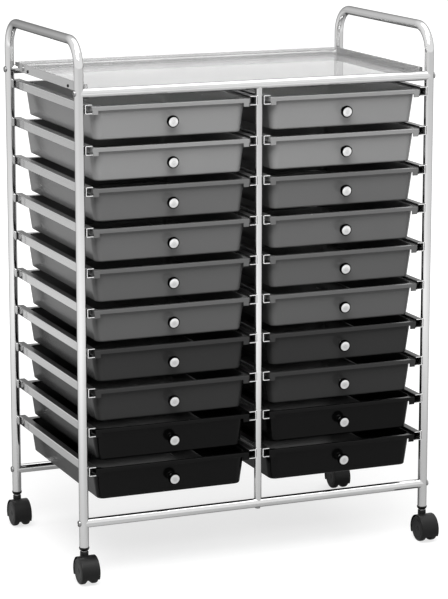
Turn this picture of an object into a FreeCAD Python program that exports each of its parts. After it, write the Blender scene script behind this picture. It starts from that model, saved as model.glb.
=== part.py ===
"""Rolling cart: two columns of tray drawers between side frames of bent round tube.

Millimetres, +Z up, the front faces -Y. The origin lies on the floor, midway between the
wheels, so the box of the whole cart is centred on it. Each side frame is one tube: a front
leg, a handle along the top and a rear leg. Four rails and two posts join the side frames,
channel runners on legs and posts carry the drawers, and a clear tray lies between the top
rails. The cart rolls on four casters, each with a hood, a stem and two wheels.
"""
import FreeCAD
import Part

import math
import os

V = FreeCAD.Vector
ORIGIN = V(0, 0, 0)
ALONG_X = V(1, 0, 0)
ALONG_Y = V(0, 1, 0)
UP = V(0, 0, 1)
SIDES = (("left", -1), ("right", 1))
ENDS = (("front", -1), ("rear", 1))

# Drawers in the cart
rows = 10
row_pitch = 68.0

# Tube frame
leg_spacing_x = 638.0
leg_spacing_y = 366.0
tube_radius = 8.0
tube_wall = 1.0
handle_bend_radius = 45.0
post_step = 1.65
post_wall = 1.0
plug_length = 14.0
spigot_radius = 3.0
spigot_length = 6.0
spigot_embed = 7.0
spigot_clearance = 0.1

# Heights, each counted from the piece below
bottom_rail_rise = 41.5
first_runner_rise = 90.0
top_rail_rise = 26.0
handle_rise = 84.0

# Channel runners and the angle strips beside the tray
runner_height = 15.5
runner_flange = 12.2
runner_sheet = 1.2
runner_bend_radius = 1.8
runner_overhang = 7.0
runner_stop_width = 10.5
strip_height = 15.5
strip_drop = 1.75
tray_screw_height_share = 0.25

# Clear tray
tray_height = 14.5
tray_front_height = 6.5
tray_floor = 2.0
tray_wall = 2.0
tray_corner_radius = 8.0
tray_clearance = 0.4
tray_screw_offset = 106.0

# Drawers
drawer_wall = 2.0
drawer_floor = 2.0
drawer_gap = 11.0
drawer_draft_inset = 8.0
drawer_corner_radius = 20.0
drawer_foot_radius = 3.5
rim_sheet = 2.2
rim_top_rise = 3.2
rim_band = 6.6
rim_lip = 2.0
rim_corner_radius = 6.0
rim_side_gap = 2.9
rim_setback = 0.35
wall_setback = 5.0
body_side_gap = 1.3
slide_gap = 0.3
stop_gap = 0.5
tab_width = 11.0
tab_drop = 6.4

# Knobs
knob_drop = 25.2
knob_head_radius = 8.75
knob_length = 16.6
knob_base_radius = 5.0
knob_base_height = 1.4
knob_neck_radius = 4.0
knob_neck_length = 7.6
knob_flare_length = 3.0
knob_flare_bow_share = 0.6
knob_edge_length = 2.2
knob_screw_reach = 8.5
knob_hole_spare = 0.6

# Screws and bolts
rail_bolt_radius = 2.95
rail_bolt_head_radius = 5.25
rail_bolt_head_height = 2.2
post_bolt_radius = 2.5
post_bolt_head_radius = 4.4
post_bolt_head_height = 3.0
post_bolt_tip_gap = 1.0
tray_screw_radius = 1.5
tray_screw_head_radius = 2.6
tray_screw_head_height = 1.4
knob_screw_radius = 1.95
knob_screw_head_radius = 3.8
knob_screw_head_height = 2.2
head_edge_radius = 0.6
thread_clearance = 0.05
hole_clearance = 0.25

# Casters
caster_trail = 12.0
wheel_radius = 23.0
wheel_width = 12.2
wheel_tread_width = 4.4
wheel_face_radius = 18.0
wheel_dish_radius = 14.5
wheel_dish_depth = 1.4
wheel_hub_radius = 6.0
wheel_cap_thickness = 2.3
wheel_side_gap = 0.3
hood_clearance = 0.8
hood_sheet = 1.2
hood_side_cover = 0.5
hood_reach_degrees = 28.0
web_thickness = 6.0
axle_radius = 2.0
axle_boss_radius = 7.0
axle_clearance = 0.05
neck_wall = 3.25
neck_rise = 5.0
stem_clearance = 0.05
stem_embed = 8.4
stem_reach = 26.0
stem_flange_overhang = 1.25
stem_flange_height = 1.2
swivel_gap = 0.3
grip_ring_height = 1.5
grip_ring_overhang = 0.65
grip_groove_depth = 0.8
grip_ring_slot = 2.0
grip_ring_drop = 5.0
grip_pocket_clearance = 0.3

# Sockets that hold the casters in the legs
socket_length = 28.0
socket_clearance = 0.05
socket_wall = 2.95
collar_height = 6.0
collar_overhang = 0.9
collar_taper = 3.3
collar_edge = 1.2

# Overrun of a cutting tool past the face that it cuts, and how near an edge counts as found
overrun = 1.0
edge_tolerance = 0.01

# Sizes and places worked out from the sizes above
post_radius = tube_radius - post_step
socket_plug_radius = tube_radius - tube_wall - socket_clearance
stem_radius = socket_plug_radius - socket_wall - stem_clearance
stem_flange_radius = stem_radius + stem_flange_overhang
grip_ring_radius = stem_radius + grip_ring_overhang
neck_radius = stem_radius + neck_wall
collar_radius = tube_radius + collar_overhang
collar_foot_radius = collar_radius - collar_taper
leg_x = leg_spacing_x / 2
front_leg_y = caster_trail - leg_spacing_y / 2
rear_leg_y = caster_trail + leg_spacing_y / 2
axle_z = wheel_radius
wheel_space_radius = wheel_radius + hood_clearance
hood_radius = wheel_space_radius + hood_sheet
neck_top_z = axle_z + hood_radius + neck_rise
collar_bottom_z = neck_top_z + stem_flange_height + swivel_gap
leg_bottom_z = collar_bottom_z + collar_height
bottom_rail_z = leg_bottom_z + bottom_rail_rise
first_runner_z = bottom_rail_z + first_runner_rise
last_runner_z = first_runner_z + (rows - 1) * row_pitch
top_rail_z = last_runner_z + top_rail_rise
handle_z = top_rail_z + handle_rise
leg_face_x = leg_x - tube_radius
bay_half = (leg_face_x - post_radius) / 2
column_x = post_radius + bay_half
runner_front_y = front_leg_y - runner_overhang
runner_length = leg_spacing_y + 2 * runner_overhang
strip_bottom_z = top_rail_z - strip_drop
tray_bottom_z = strip_bottom_z + runner_sheet
drawer_height = row_pitch - drawer_gap
drawer_bottom = rim_top_rise - drawer_height
draft_angle = math.atan(drawer_draft_inset / drawer_height)
rim_half = bay_half - runner_sheet - rim_side_gap
body_half = bay_half - runner_flange - body_side_gap
rim_overhang = rim_half - body_half
rim_front = rim_setback - post_radius
rim_back = leg_spacing_y + runner_overhang - runner_sheet - stop_gap
body_front = rim_front + wall_setback
body_back = rim_back - rim_overhang


def cylinder(radius, start, direction, length):
    """A round rod of the given length from start along direction."""
    return Part.makeCylinder(radius, length, start, direction)


def block(low, high):
    """A box between two opposite corners."""
    size = high - low
    return Part.makeBox(size.x, size.y, size.z, low)


def moved(shape, x, y, z):
    """A copy of a shape, shifted."""
    copy = shape.copy()
    copy.translate(V(x, y, z))
    return copy


def rounded_outline(half_width, front, back, radius, z):
    """A level wire: a rectangle centred on x = 0 with its four corners rounded."""
    quarter = math.pi / 2
    corners = ((1, back - radius), (-1, back - radius), (-1, front + radius), (1, front + radius))
    arcs = []
    for turn, (side, y) in enumerate(corners):
        centre = V(side * (half_width - radius), y, z)
        points = []
        for step in (0, 1, 2):
            angle = turn * quarter + step * quarter / 2
            points.append(centre + V(math.cos(angle), math.sin(angle), 0) * radius)
        arcs.append(points)
    edges = []
    for index, points in enumerate(arcs):
        following = arcs[(index + 1) % len(arcs)]
        edges.append(Part.Arc(*points).toShape())
        edges.append(Part.LineSegment(points[-1], following[0]).toShape())
    return Part.Wire(edges)


def rounded_plate(half_width, front, back, radius, low, high):
    """A level plate with rounded corners between two heights."""
    face = Part.Face(rounded_outline(half_width, front, back, radius, low))
    return face.extrude(UP * (high - low))


def level_edges(shape, z):
    """The edges of a shape that lie wholly at one height."""
    near = []
    for edge in shape.Edges:
        box = edge.BoundBox
        if abs(box.ZMin - z) < edge_tolerance and abs(box.ZMax - z) < edge_tolerance:
            near.append(edge)
    return near


def revolved(points_and_arcs, centre, axis):
    """A closed profile turned once round an axis.

    The profile is a list of points. A pair in place of a point is an arc: the point that it
    passes through and the point where it ends.
    """
    edges = []
    last = points_and_arcs[0]
    for item in points_and_arcs[1:] + points_and_arcs[:1]:
        if isinstance(item, tuple):
            edges.append(Part.Arc(last, item[0], item[1]).toShape())
            last = item[1]
        else:
            edges.append(Part.LineSegment(last, item).toShape())
            last = item
    return Part.Face(Part.Wire(edges)).revolve(centre, axis, 360)


def leg_places():
    """Each leg's name parts with its x and y."""
    for end, end_sign in ENDS:
        for side, side_sign in SIDES:
            yield end, side, side_sign * leg_x, caster_trail + end_sign * leg_spacing_y / 2


def bent_rod(x, radius):
    """A rod along the centre line of a side frame, from one leg's foot to the other's."""
    bend = handle_bend_radius
    high = handle_z - bend
    lean = bend * (1 - math.cos(math.pi / 4))
    front = V(x, front_leg_y, 0)
    rear = V(x, rear_leg_y, 0)
    edges = [
        Part.LineSegment(front + UP * leg_bottom_z, front + UP * high),
        Part.Arc(front + UP * high, front + ALONG_Y * lean + UP * (handle_z - lean),
                 front + ALONG_Y * bend + UP * handle_z),
        Part.LineSegment(front + ALONG_Y * bend + UP * handle_z, rear - ALONG_Y * bend + UP * handle_z),
        Part.Arc(rear - ALONG_Y * bend + UP * handle_z, rear - ALONG_Y * lean + UP * (handle_z - lean),
                 rear + UP * high),
        Part.LineSegment(rear + UP * high, rear + UP * leg_bottom_z),
    ]
    path = Part.Wire([edge.toShape() for edge in edges])
    profile = Part.Wire(Part.makeCircle(radius, front + UP * leg_bottom_z, UP))
    return path.makePipeShell([profile], True, False)


def side_frame(side_sign):
    """One bent tube: front leg, handle and rear leg, drilled for the rail bolts."""
    x = side_sign * leg_x
    tube = bent_rod(x, tube_radius).cut(bent_rod(x, tube_radius - tube_wall))
    holes = []
    for y in (front_leg_y, rear_leg_y):
        for z in (bottom_rail_z, top_rail_z):
            start = V(x - tube_radius - overrun, y, z)
            length = 2 * (tube_radius + overrun)
            holes.append(cylinder(rail_bolt_radius + hole_clearance, start, ALONG_X, length))
    return tube.cut(holes)


def legs_at(y):
    """The two legs at one end of the cart as plain rods, for cutting."""
    height = handle_z - leg_bottom_z
    return [cylinder(tube_radius, V(sign * leg_x, y, leg_bottom_z), UP, height) for _, sign in SIDES]


def cross_rail(y, z):
    """A rail between the side frames: a tube with a threaded plug in each end."""
    full = cylinder(tube_radius, V(-leg_x, y, z), ALONG_X, leg_spacing_x)
    inside = cylinder(tube_radius - tube_wall, V(plug_length - leg_face_x, y, z), ALONG_X,
                      2 * (leg_face_x - plug_length))
    rail = full.cut([inside] + legs_at(y))
    return rail.cut(cylinder(rail_bolt_radius + thread_clearance, V(-leg_x, y, z), ALONG_X, leg_spacing_x))


def bottom_rail(y):
    """A bottom rail, drilled upright for the bolt that holds the post."""
    hole = cylinder(post_bolt_radius + hole_clearance, V(0, y, bottom_rail_z - tube_radius - overrun),
                    UP, 2 * (tube_radius + overrun))
    return cross_rail(y, bottom_rail_z).cut(hole)


def top_rail(y):
    """A top rail, drilled from below for the spigot of the post."""
    hole = cylinder(spigot_radius + spigot_clearance, V(0, y, top_rail_z - tube_radius - overrun),
                    UP, tube_radius + overrun)
    return cross_rail(y, top_rail_z).cut(hole)


def center_post(y):
    """An upright tube between two rails: a threaded plug below and a spigot above."""
    low = bottom_rail_z
    high = top_rail_z
    plug_top = bottom_rail_z + tube_radius + plug_length
    plug_bottom = top_rail_z - tube_radius - plug_length
    full = cylinder(post_radius, V(0, y, low), UP, high - low)
    inside = cylinder(post_radius - post_wall, V(0, y, plug_top), UP, plug_bottom - plug_top)
    rails = [cylinder(tube_radius, V(-leg_x, y, z), ALONG_X, leg_spacing_x) for z in (low, high)]
    thread = cylinder(post_bolt_radius + thread_clearance, V(0, y, low), UP, plug_top - low)
    post = full.cut([inside, thread] + rails)
    spigot_bottom = high - tube_radius - spigot_embed
    spigot_top = high - tube_radius + spigot_length
    return post.fuse(cylinder(spigot_radius, V(0, y, spigot_bottom), UP, spigot_top - spigot_bottom))


def long_edges(shape, places):
    """The edges that run along Y at the given x and z places."""
    near = []
    for edge in shape.Edges:
        box = edge.BoundBox
        for x, z in places:
            wide = max(abs(box.XMin - x), abs(box.XMax - x), abs(box.ZMin - z), abs(box.ZMax - z))
            if wide < edge_tolerance:
                near.append(edge)
    return near


def runner():
    """A channel open towards +X, its web's outer face at x = 0, with a stop in its rear end."""
    half = runner_height / 2
    hollow_half = half - runner_sheet
    channel = block(V(0, 0, -half), V(runner_flange, runner_length, half))
    channel = channel.cut(block(V(runner_sheet, -overrun, -hollow_half),
                                V(runner_flange + overrun, runner_length + overrun, hollow_half)))
    outer = long_edges(channel, [(0, -half), (0, half)])
    channel = channel.makeFillet(runner_bend_radius, outer)
    inner = long_edges(channel, [(runner_sheet, -hollow_half), (runner_sheet, hollow_half)])
    channel = channel.makeFillet(runner_bend_radius - runner_sheet, inner)
    stop = block(V(runner_sheet / 2, runner_length - runner_sheet, -hollow_half),
                 V(runner_stop_width + runner_sheet, runner_length, hollow_half))
    return channel.fuse(stop)


def tray_strip():
    """An angle open towards +X beside the tray, its foot at z = 0, drilled for two screws."""
    length = leg_spacing_y - 2 * tube_radius
    angle = block(ORIGIN, V(runner_flange, length, strip_height))
    angle = angle.cut(block(V(runner_sheet, -overrun, runner_sheet),
                            V(runner_flange + overrun, length + overrun, strip_height + overrun)))
    angle = angle.makeFillet(runner_bend_radius, long_edges(angle, [(0, 0)]))
    holes = []
    for _, sign in ENDS:
        start = V(-overrun, length / 2 + sign * tray_screw_offset, tray_screw_height())
        holes.append(cylinder(tray_screw_radius + hole_clearance, start, ALONG_X,
                              runner_sheet + 2 * overrun))
    return angle.cut(holes)


def tray_screw_height():
    """How far the tray's screws lie above the foot of the strip."""
    return strip_drop + (strip_height - strip_drop) * tray_screw_height_share


def all_runners():
    """Every runner, row by row, and the two strips beside the tray."""
    open_right = runner()
    open_left = open_right.mirror(ORIGIN, ALONG_X)
    solids = []
    for row in range(rows):
        z = first_runner_z + row * row_pitch
        for x, shape in ((-leg_face_x, open_right), (-post_radius, open_left),
                         (post_radius, open_right), (leg_face_x, open_left)):
            solids.append(moved(shape, x, runner_front_y, z))
    strip = tray_strip()
    strip_y = front_leg_y + tube_radius
    solids.append(moved(strip, -leg_face_x, strip_y, strip_bottom_z))
    solids.append(moved(strip.mirror(ORIGIN, ALONG_X), leg_face_x, strip_y, strip_bottom_z))
    return Part.makeCompound(solids)


def top_tray():
    """A clear tray with a low front lip, screwed to the strips beside it."""
    half = leg_face_x - runner_sheet - tray_clearance
    front = front_leg_y + tube_radius + tray_clearance
    back = rear_leg_y - tube_radius - tray_clearance
    top = tray_bottom_z + tray_height
    corner = tray_corner_radius
    outer = rounded_plate(half, front, back, corner, tray_bottom_z, top)
    hollow = rounded_plate(half - tray_wall, front + tray_wall, back - tray_wall, corner - tray_wall,
                           tray_bottom_z + tray_floor, top + overrun)
    gap = block(V(corner - half, front - overrun, tray_bottom_z + tray_front_height),
                V(half - corner, front + corner, top + overrun))
    tray = outer.cut([hollow, gap])
    holes = []
    for _, sign in ENDS:
        start = V(-half - overrun, caster_trail + sign * tray_screw_offset,
                  strip_bottom_z + tray_screw_height())
        holes.append(cylinder(tray_screw_radius + thread_clearance, start, ALONG_X,
                              2 * (half + overrun)))
    return tray.cut(holes)


def screw(radius, reach, head_radius, head_height, head_start=0):
    """A screw along +Z: its head with a rounded edge from -head_height up to head_start."""
    head = cylinder(head_radius, V(0, 0, -head_height), UP, head_height + head_start)
    head = head.makeFillet(head_edge_radius, level_edges(head, -head_height))
    return head.fuse(cylinder(radius, ORIGIN, UP, reach))


def saddled_bolt(radius, reach, head_radius, head_height):
    """A bolt along +Z whose head is shaped to a frame tube that lies along X on z = 0."""
    half = head_radius + overrun
    tube = cylinder(tube_radius, V(-half, 0, tube_radius), ALONG_X, 2 * half)
    blank = screw(radius, reach, head_radius, head_height, tube_radius)
    return blank.cut(tube).fuse(cylinder(radius, ORIGIN, UP, reach))


def rail_bolts():
    """The bolts that hold the rails, their heads on the outside of the legs."""
    solids = []
    bolt = saddled_bolt(rail_bolt_radius, 2 * tube_radius + plug_length, rail_bolt_head_radius,
                        rail_bolt_head_height)
    for _, _, x, y in leg_places():
        sign = 1 if x > 0 else -1
        turned = bolt.copy()
        turned.rotate(ORIGIN, ALONG_Y, -90 * sign)
        for z in (bottom_rail_z, top_rail_z):
            solids.append(moved(turned, x + sign * tube_radius, y, z))
    return solids


def post_bolts():
    """The bolts that hold the posts, up through the bottom rails."""
    reach = 2 * tube_radius + plug_length - post_bolt_tip_gap
    bolt = saddled_bolt(post_bolt_radius, reach, post_bolt_head_radius, post_bolt_head_height)
    return [moved(bolt, 0, y, bottom_rail_z - tube_radius) for y in (front_leg_y, rear_leg_y)]


def tray_screws():
    """Two small screws each side that fix the tray to its strips."""
    solids = []
    reach = runner_sheet + tray_clearance + tray_wall
    straight = screw(tray_screw_radius, reach, tray_screw_head_radius, tray_screw_head_height)
    z = strip_bottom_z + tray_screw_height()
    for _, side_sign in SIDES:
        for _, end_sign in ENDS:
            turned = straight.copy()
            turned.rotate(ORIGIN, ALONG_Y, -90 * side_sign)
            y = caster_trail + end_sign * tray_screw_offset
            solids.append(moved(turned, side_sign * leg_face_x, y, z))
    return solids


def drawer_tub(grow, low, high, foot_radius):
    """A drafted tub between two heights, its walls moved outwards by grow, its foot rounded."""
    def outline(z):
        inset = (rim_top_rise - z) * math.tan(draft_angle) - grow
        return rounded_outline(body_half - inset, body_front + inset, body_back - inset,
                               drawer_corner_radius - inset, z)

    tub = Part.makeLoft([outline(low), outline(high)], True, True)
    return tub.makeFillet(foot_radius, level_edges(tub, low))


def to_knob_axis(shape):
    """A shape on +Z, moved to the knob's place: square to the front wall, pointing outwards."""
    placed = shape.copy()
    placed.rotate(ORIGIN, ALONG_X, 90 + math.degrees(draft_angle))
    face_y = body_front + (rim_top_rise + knob_drop) * math.tan(draft_angle)
    placed.translate(V(0, face_y, -knob_drop))
    return placed


def drawer():
    """A tray drawer at x = 0, with the front leg's axis at y = 0 and its runners at z = 0."""
    lip_bottom = slide_gap + runner_sheet - runner_height / 2
    band_bottom = rim_top_rise - rim_band
    tub = drawer_tub(0, drawer_bottom, rim_top_rise, drawer_foot_radius)
    plate = rounded_plate(rim_half, rim_front, rim_back, rim_corner_radius,
                          rim_top_rise - rim_sheet, rim_top_rise)
    skirt = rounded_plate(rim_half, rim_front, rim_back, rim_corner_radius, lip_bottom, rim_top_rise)
    skirt = skirt.cut(rounded_plate(rim_half - rim_lip, rim_front + rim_lip, rim_back - rim_lip,
                                    rim_corner_radius - rim_lip, lip_bottom - overrun,
                                    rim_top_rise - rim_sheet))
    inner_half = rim_half - rim_lip
    for y in (rim_front - overrun, rim_back - rim_corner_radius):
        skirt = skirt.cut(block(V(-inner_half, y, lip_bottom - overrun),
                                V(inner_half, y + rim_corner_radius + overrun, band_bottom)))
    tabs = []
    for _, sign in SIDES:
        edge = sign * body_half
        inside = edge - sign * tab_width
        tabs.append(block(V(min(edge, inside), rim_front, band_bottom - tab_drop),
                          V(max(edge, inside), rim_front + rim_lip, rim_top_rise)))
    shell = tub.fuse([plate, skirt] + tabs)
    hollow = drawer_tub(-drawer_wall, drawer_bottom + drawer_floor, rim_top_rise + overrun,
                        drawer_foot_radius - drawer_floor)
    hole = cylinder(knob_screw_radius + hole_clearance, V(0, 0, -drawer_wall - overrun), UP,
                    drawer_wall + 2 * overrun)
    return shell.cut([hollow, to_knob_axis(hole)])


def knob():
    """A round knob turned on a lathe, with a blind hole for its screw."""
    head_start = knob_neck_length
    edge_start = head_start + knob_flare_length
    edge_end = edge_start + knob_edge_length
    flare = knob_head_radius - knob_neck_radius
    dome = knob_length - edge_end
    dome_radius = (knob_head_radius ** 2 + dome ** 2) / (2 * dome)
    dome_half_angle = math.asin(knob_head_radius / dome_radius) / 2
    profile = [
        V(0, 0, 0),
        V(knob_base_radius, 0, 0),
        V(knob_base_radius, 0, knob_base_height),
        V(knob_neck_radius, 0, knob_base_height + knob_base_radius - knob_neck_radius),
        V(knob_neck_radius, 0, head_start),
        (V(knob_neck_radius + flare * knob_flare_bow_share, 0,
           head_start + knob_flare_length * (1 - knob_flare_bow_share)),
         V(knob_head_radius, 0, edge_start)),
        V(knob_head_radius, 0, edge_end),
        (V(dome_radius * math.sin(dome_half_angle), 0,
           knob_length - dome_radius * (1 - math.cos(dome_half_angle))),
         V(0, 0, knob_length)),
    ]
    hole = cylinder(knob_screw_radius + thread_clearance, V(0, 0, -overrun), UP,
                    knob_screw_reach + knob_hole_spare + overrun)
    return revolved(profile, ORIGIN, UP).cut(hole)


def knob_screw():
    """The screw that holds a knob, its head inside the drawer."""
    inner_face = drawer_wall * math.cos(draft_angle)
    fastener = screw(knob_screw_radius, knob_screw_reach + inner_face, knob_screw_head_radius,
                     knob_screw_head_height)
    return moved(fastener, 0, 0, -inner_face)


def caster_socket():
    """A plug in a leg's foot with a bowl-shaped collar, bored for the stem at x = y = 0."""
    top = leg_bottom_z + socket_length
    middle = (collar_bottom_z + leg_bottom_z - collar_edge) / 2
    bulge = (collar_radius + collar_foot_radius) / 2 + collar_edge / 2
    profile = [
        V(0, 0, collar_bottom_z),
        V(collar_foot_radius, 0, collar_bottom_z),
        (V(bulge, 0, middle), V(collar_radius, 0, leg_bottom_z - collar_edge)),
        V(collar_radius, 0, leg_bottom_z),
        V(socket_plug_radius, 0, leg_bottom_z),
        V(socket_plug_radius, 0, top),
        V(0, 0, top),
    ]
    bore_radius = stem_radius + stem_clearance
    bore = cylinder(bore_radius, V(0, 0, collar_bottom_z - overrun), UP,
                    stem_reach + 2 * overrun)
    pocket = cylinder(grip_ring_radius + grip_pocket_clearance,
                      V(0, 0, grip_ring_z() - grip_pocket_clearance), UP,
                      grip_ring_height + 2 * grip_pocket_clearance)
    return revolved(profile, ORIGIN, UP).cut([bore, pocket])


def grip_ring_z():
    """The height of the grip ring's lower face on the stem."""
    return collar_bottom_z + stem_reach - grip_ring_drop


def stem():
    """A steel stem with a flange on the caster's neck and a groove for the grip ring."""
    low = neck_top_z - stem_embed
    top = collar_bottom_z + stem_reach
    rod = cylinder(stem_radius, V(0, 0, low), UP, top - low)
    flange = cylinder(stem_flange_radius, V(0, 0, neck_top_z), UP, stem_flange_height)
    groove = grip_ring_band(stem_radius - grip_groove_depth, stem_radius + overrun)
    return rod.fuse(flange).cut(groove)


def grip_ring_band(inner_radius, outer_radius):
    """A flat ring at the height of the grip ring."""
    base = V(0, 0, grip_ring_z())
    return cylinder(outer_radius, base, UP, grip_ring_height).cut(
        cylinder(inner_radius, base, UP, grip_ring_height))


def grip_ring():
    """The open spring ring that keeps the stem in its socket."""
    ring = grip_ring_band(stem_radius - grip_groove_depth + stem_clearance, grip_ring_radius)
    half = grip_ring_slot / 2
    slot = block(V(-half, 0, grip_ring_z() - overrun),
                 V(half, grip_ring_radius + overrun, grip_ring_z() + grip_ring_height + overrun))
    return ring.cut(slot)


def sector(inner_radius, outer_radius, half_width, start_degrees, sweep_degrees):
    """A ring sector round the wheels' axle, its angle counted from the front over the top."""
    start = math.radians(start_degrees)
    ray = V(0, -math.cos(start), math.sin(start))
    centre = V(0, -caster_trail, axle_z)
    corners = [centre + ray * inner_radius - ALONG_X * half_width,
               centre + ray * outer_radius - ALONG_X * half_width,
               centre + ray * outer_radius + ALONG_X * half_width,
               centre + ray * inner_radius + ALONG_X * half_width]
    face = Part.Face(Part.makePolygon(corners + corners[:1]))
    return face.revolve(centre, ALONG_X * -1, sweep_degrees)


def hood():
    """A caster's moulded body: hood over both wheels, web between them and neck for the stem."""
    half_web = web_thickness / 2
    outer_half = half_web + wheel_side_gap + wheel_width + hood_side_cover
    centre = V(0, -caster_trail, axle_z)
    cover = sector(wheel_space_radius, hood_radius, outer_half, -hood_reach_degrees,
                   180 + 2 * hood_reach_degrees)
    web = sector(0, hood_radius - hood_sheet / 2, half_web, 0, 180)
    boss = cylinder(axle_boss_radius, centre - ALONG_X * half_web, ALONG_X, web_thickness)
    neck = cylinder(neck_radius, V(0, 0, axle_z), UP, neck_top_z - axle_z)
    spaces = [cylinder(wheel_space_radius, centre + ALONG_X * sign * half_web, ALONG_X * sign, outer_half)
              for _, sign in SIDES]
    neck = neck.cut(spaces)
    body = cover.fuse([web, boss, neck])
    stem_hole = cylinder(stem_radius + stem_clearance, V(0, 0, neck_top_z - stem_embed), UP,
                         stem_embed + overrun)
    axle_hole = cylinder(axle_radius + axle_clearance, centre - ALONG_X * outer_half, ALONG_X,
                         2 * outer_half)
    return body.cut([stem_hole, axle_hole])


def axle():
    """The steel pin that carries both wheels of a caster."""
    half = web_thickness / 2 + wheel_side_gap + wheel_width - wheel_cap_thickness
    return cylinder(axle_radius, V(-half, -caster_trail, axle_z), ALONG_X, 2 * half)


def wheel():
    """The wheel on the +X side of a caster: rounded tread, dished outer face, blind bore."""
    inner = web_thickness / 2 + wheel_side_gap
    outer = inner + wheel_width
    shoulder = (wheel_width - wheel_tread_width) / 2
    drop = wheel_radius - wheel_face_radius
    bow = math.cos(math.pi / 4)

    def place(x, r):
        return V(x, -caster_trail, axle_z + r)

    profile = [
        place(inner, 0),
        place(inner, wheel_face_radius),
        (place(inner + shoulder * (1 - bow), wheel_face_radius + drop * bow),
         place(inner + shoulder, wheel_radius)),
        place(outer - shoulder, wheel_radius),
        (place(outer - shoulder * (1 - bow), wheel_face_radius + drop * bow),
         place(outer, wheel_face_radius)),
        place(outer, wheel_dish_radius),
        place(outer - wheel_dish_depth, wheel_dish_radius - wheel_dish_depth),
        place(outer - wheel_dish_depth, wheel_hub_radius),
        place(outer, wheel_hub_radius - wheel_dish_depth),
        place(outer, 0),
    ]
    bore = cylinder(axle_radius + axle_clearance, place(inner - overrun, 0), ALONG_X,
                    overrun + wheel_width - wheel_cap_thickness + wheel_side_gap)
    return revolved(profile, place(inner, 0), ALONG_X).cut(bore)


def save(name, shape):
    """Writes one node as a STEP file."""
    shape.exportStep("parts/" + name + ".step")
    print(name, len(shape.Solids), round(shape.Volume), shape.isValid())


def save_frame():
    """The pieces that stand still: tubes, runners, tray, screws and sockets."""
    for side, sign in SIDES:
        save(side + "_side_frame", side_frame(sign))
    rails = [make(y) for make in (top_rail, bottom_rail) for y in (front_leg_y, rear_leg_y)]
    save("cross_rails", Part.makeCompound(rails))
    save("center_posts", Part.makeCompound([center_post(y) for y in (front_leg_y, rear_leg_y)]))
    save("runners", all_runners())
    save("top_tray", top_tray())
    save("frame_screws", Part.makeCompound(rail_bolts() + post_bolts() + tray_screws()))
    socket = caster_socket()
    save("caster_sockets", Part.makeCompound([moved(socket, x, y, 0) for _, _, x, y in leg_places()]))


def save_drawers():
    """Both columns of drawers, each drawer with its knob and screw, from the top row down."""
    tray = drawer()
    grip = Part.makeCompound([to_knob_axis(knob()), to_knob_axis(knob_screw())])
    for side, sign in SIDES:
        for row in range(rows):
            z = last_runner_z - row * row_pitch
            label = side + "_" + str(row + 1).zfill(2)
            save("drawer_" + label, moved(tray, sign * column_x, front_leg_y, z))
            save("knob_" + label, moved(grip, sign * column_x, front_leg_y, z))


def save_casters():
    """Four casters, each with a body node and a node for each of its two wheels."""
    body = Part.makeCompound([hood(), stem(), grip_ring(), axle()])
    right_wheel = wheel()
    left_wheel = right_wheel.mirror(ORIGIN, ALONG_X)
    for end, side, x, y in leg_places():
        label = end + "_" + side
        save("caster_" + label, moved(body, x, y, 0))
        save("wheel_" + label + "_outer", moved(right_wheel if x > 0 else left_wheel, x, y, 0))
        save("wheel_" + label + "_inner", moved(left_wheel if x > 0 else right_wheel, x, y, 0))


os.makedirs("parts", exist_ok=True)
save_frame()
save_drawers()
save_casters()
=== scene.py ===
"""The looks of a rolling drawer cart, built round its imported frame.

Every piece but the runners, which keep the frame's solids, is a numpy surface in metres. It lies in
the frame's own axes: +Z up, the drawers face -Y.
"""
import logging
import math
from collections.abc import Sequence
from dataclasses import dataclass
from enum import Enum

import bmesh
import bpy
import numpy as np
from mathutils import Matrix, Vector


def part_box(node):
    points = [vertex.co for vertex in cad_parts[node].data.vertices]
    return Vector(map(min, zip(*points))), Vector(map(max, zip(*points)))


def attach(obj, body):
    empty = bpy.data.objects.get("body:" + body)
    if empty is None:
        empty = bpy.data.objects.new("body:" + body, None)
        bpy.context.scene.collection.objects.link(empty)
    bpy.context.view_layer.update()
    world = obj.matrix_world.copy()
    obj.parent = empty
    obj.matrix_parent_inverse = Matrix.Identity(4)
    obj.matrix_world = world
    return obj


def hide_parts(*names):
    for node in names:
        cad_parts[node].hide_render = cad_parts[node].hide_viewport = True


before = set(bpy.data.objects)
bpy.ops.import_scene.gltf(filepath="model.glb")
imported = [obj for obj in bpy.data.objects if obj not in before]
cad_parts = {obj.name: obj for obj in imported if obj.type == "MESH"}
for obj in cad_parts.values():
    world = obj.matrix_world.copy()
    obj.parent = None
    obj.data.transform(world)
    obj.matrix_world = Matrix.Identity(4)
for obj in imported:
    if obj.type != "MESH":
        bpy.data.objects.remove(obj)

LOG = logging.getLogger("cart")
MM = 0.001
SIDES = (("left", -1), ("right", 1))
ENDS = ("front", "rear")
TURNED_RADIUS = "turned_radius"
LEAST_RADIUS = 1e-5
MERGE_DISTANCE = 1e-6
LEAST_EDGE = 1e-7


class Grey(Enum):
    """The greys of the drawers, as display values out of 255, from the top row down."""

    LIGHT = 146
    SOFT = 104
    MIDDLE = 94
    DARK = 53
    BLACK = 25


ROW_GREYS = (Grey.LIGHT, Grey.SOFT, Grey.MIDDLE, Grey.DARK, Grey.BLACK)
ROW_SLOTS = ("drawer_light_grey", "drawer_grey", "drawer_mid_grey", "drawer_dark_grey", "drawer_black")


def linear(display: float) -> float:
    """Turns a display grey out of 255 into the linear value that a shader takes.

    Args:
        display: The grey as it is seen, from 0 to 255.

    Returns:
        The linear grey, from 0 to 1.
    """
    share = display / 255
    return ((share + 0.055) / 1.055) ** 2.4 if share > 0.04045 else share / 12.92


def grey(display: float) -> tuple[float, float, float, float]:
    """A linear colour from a display grey out of 255."""
    return (linear(display),) * 3 + (1.0,)


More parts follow.
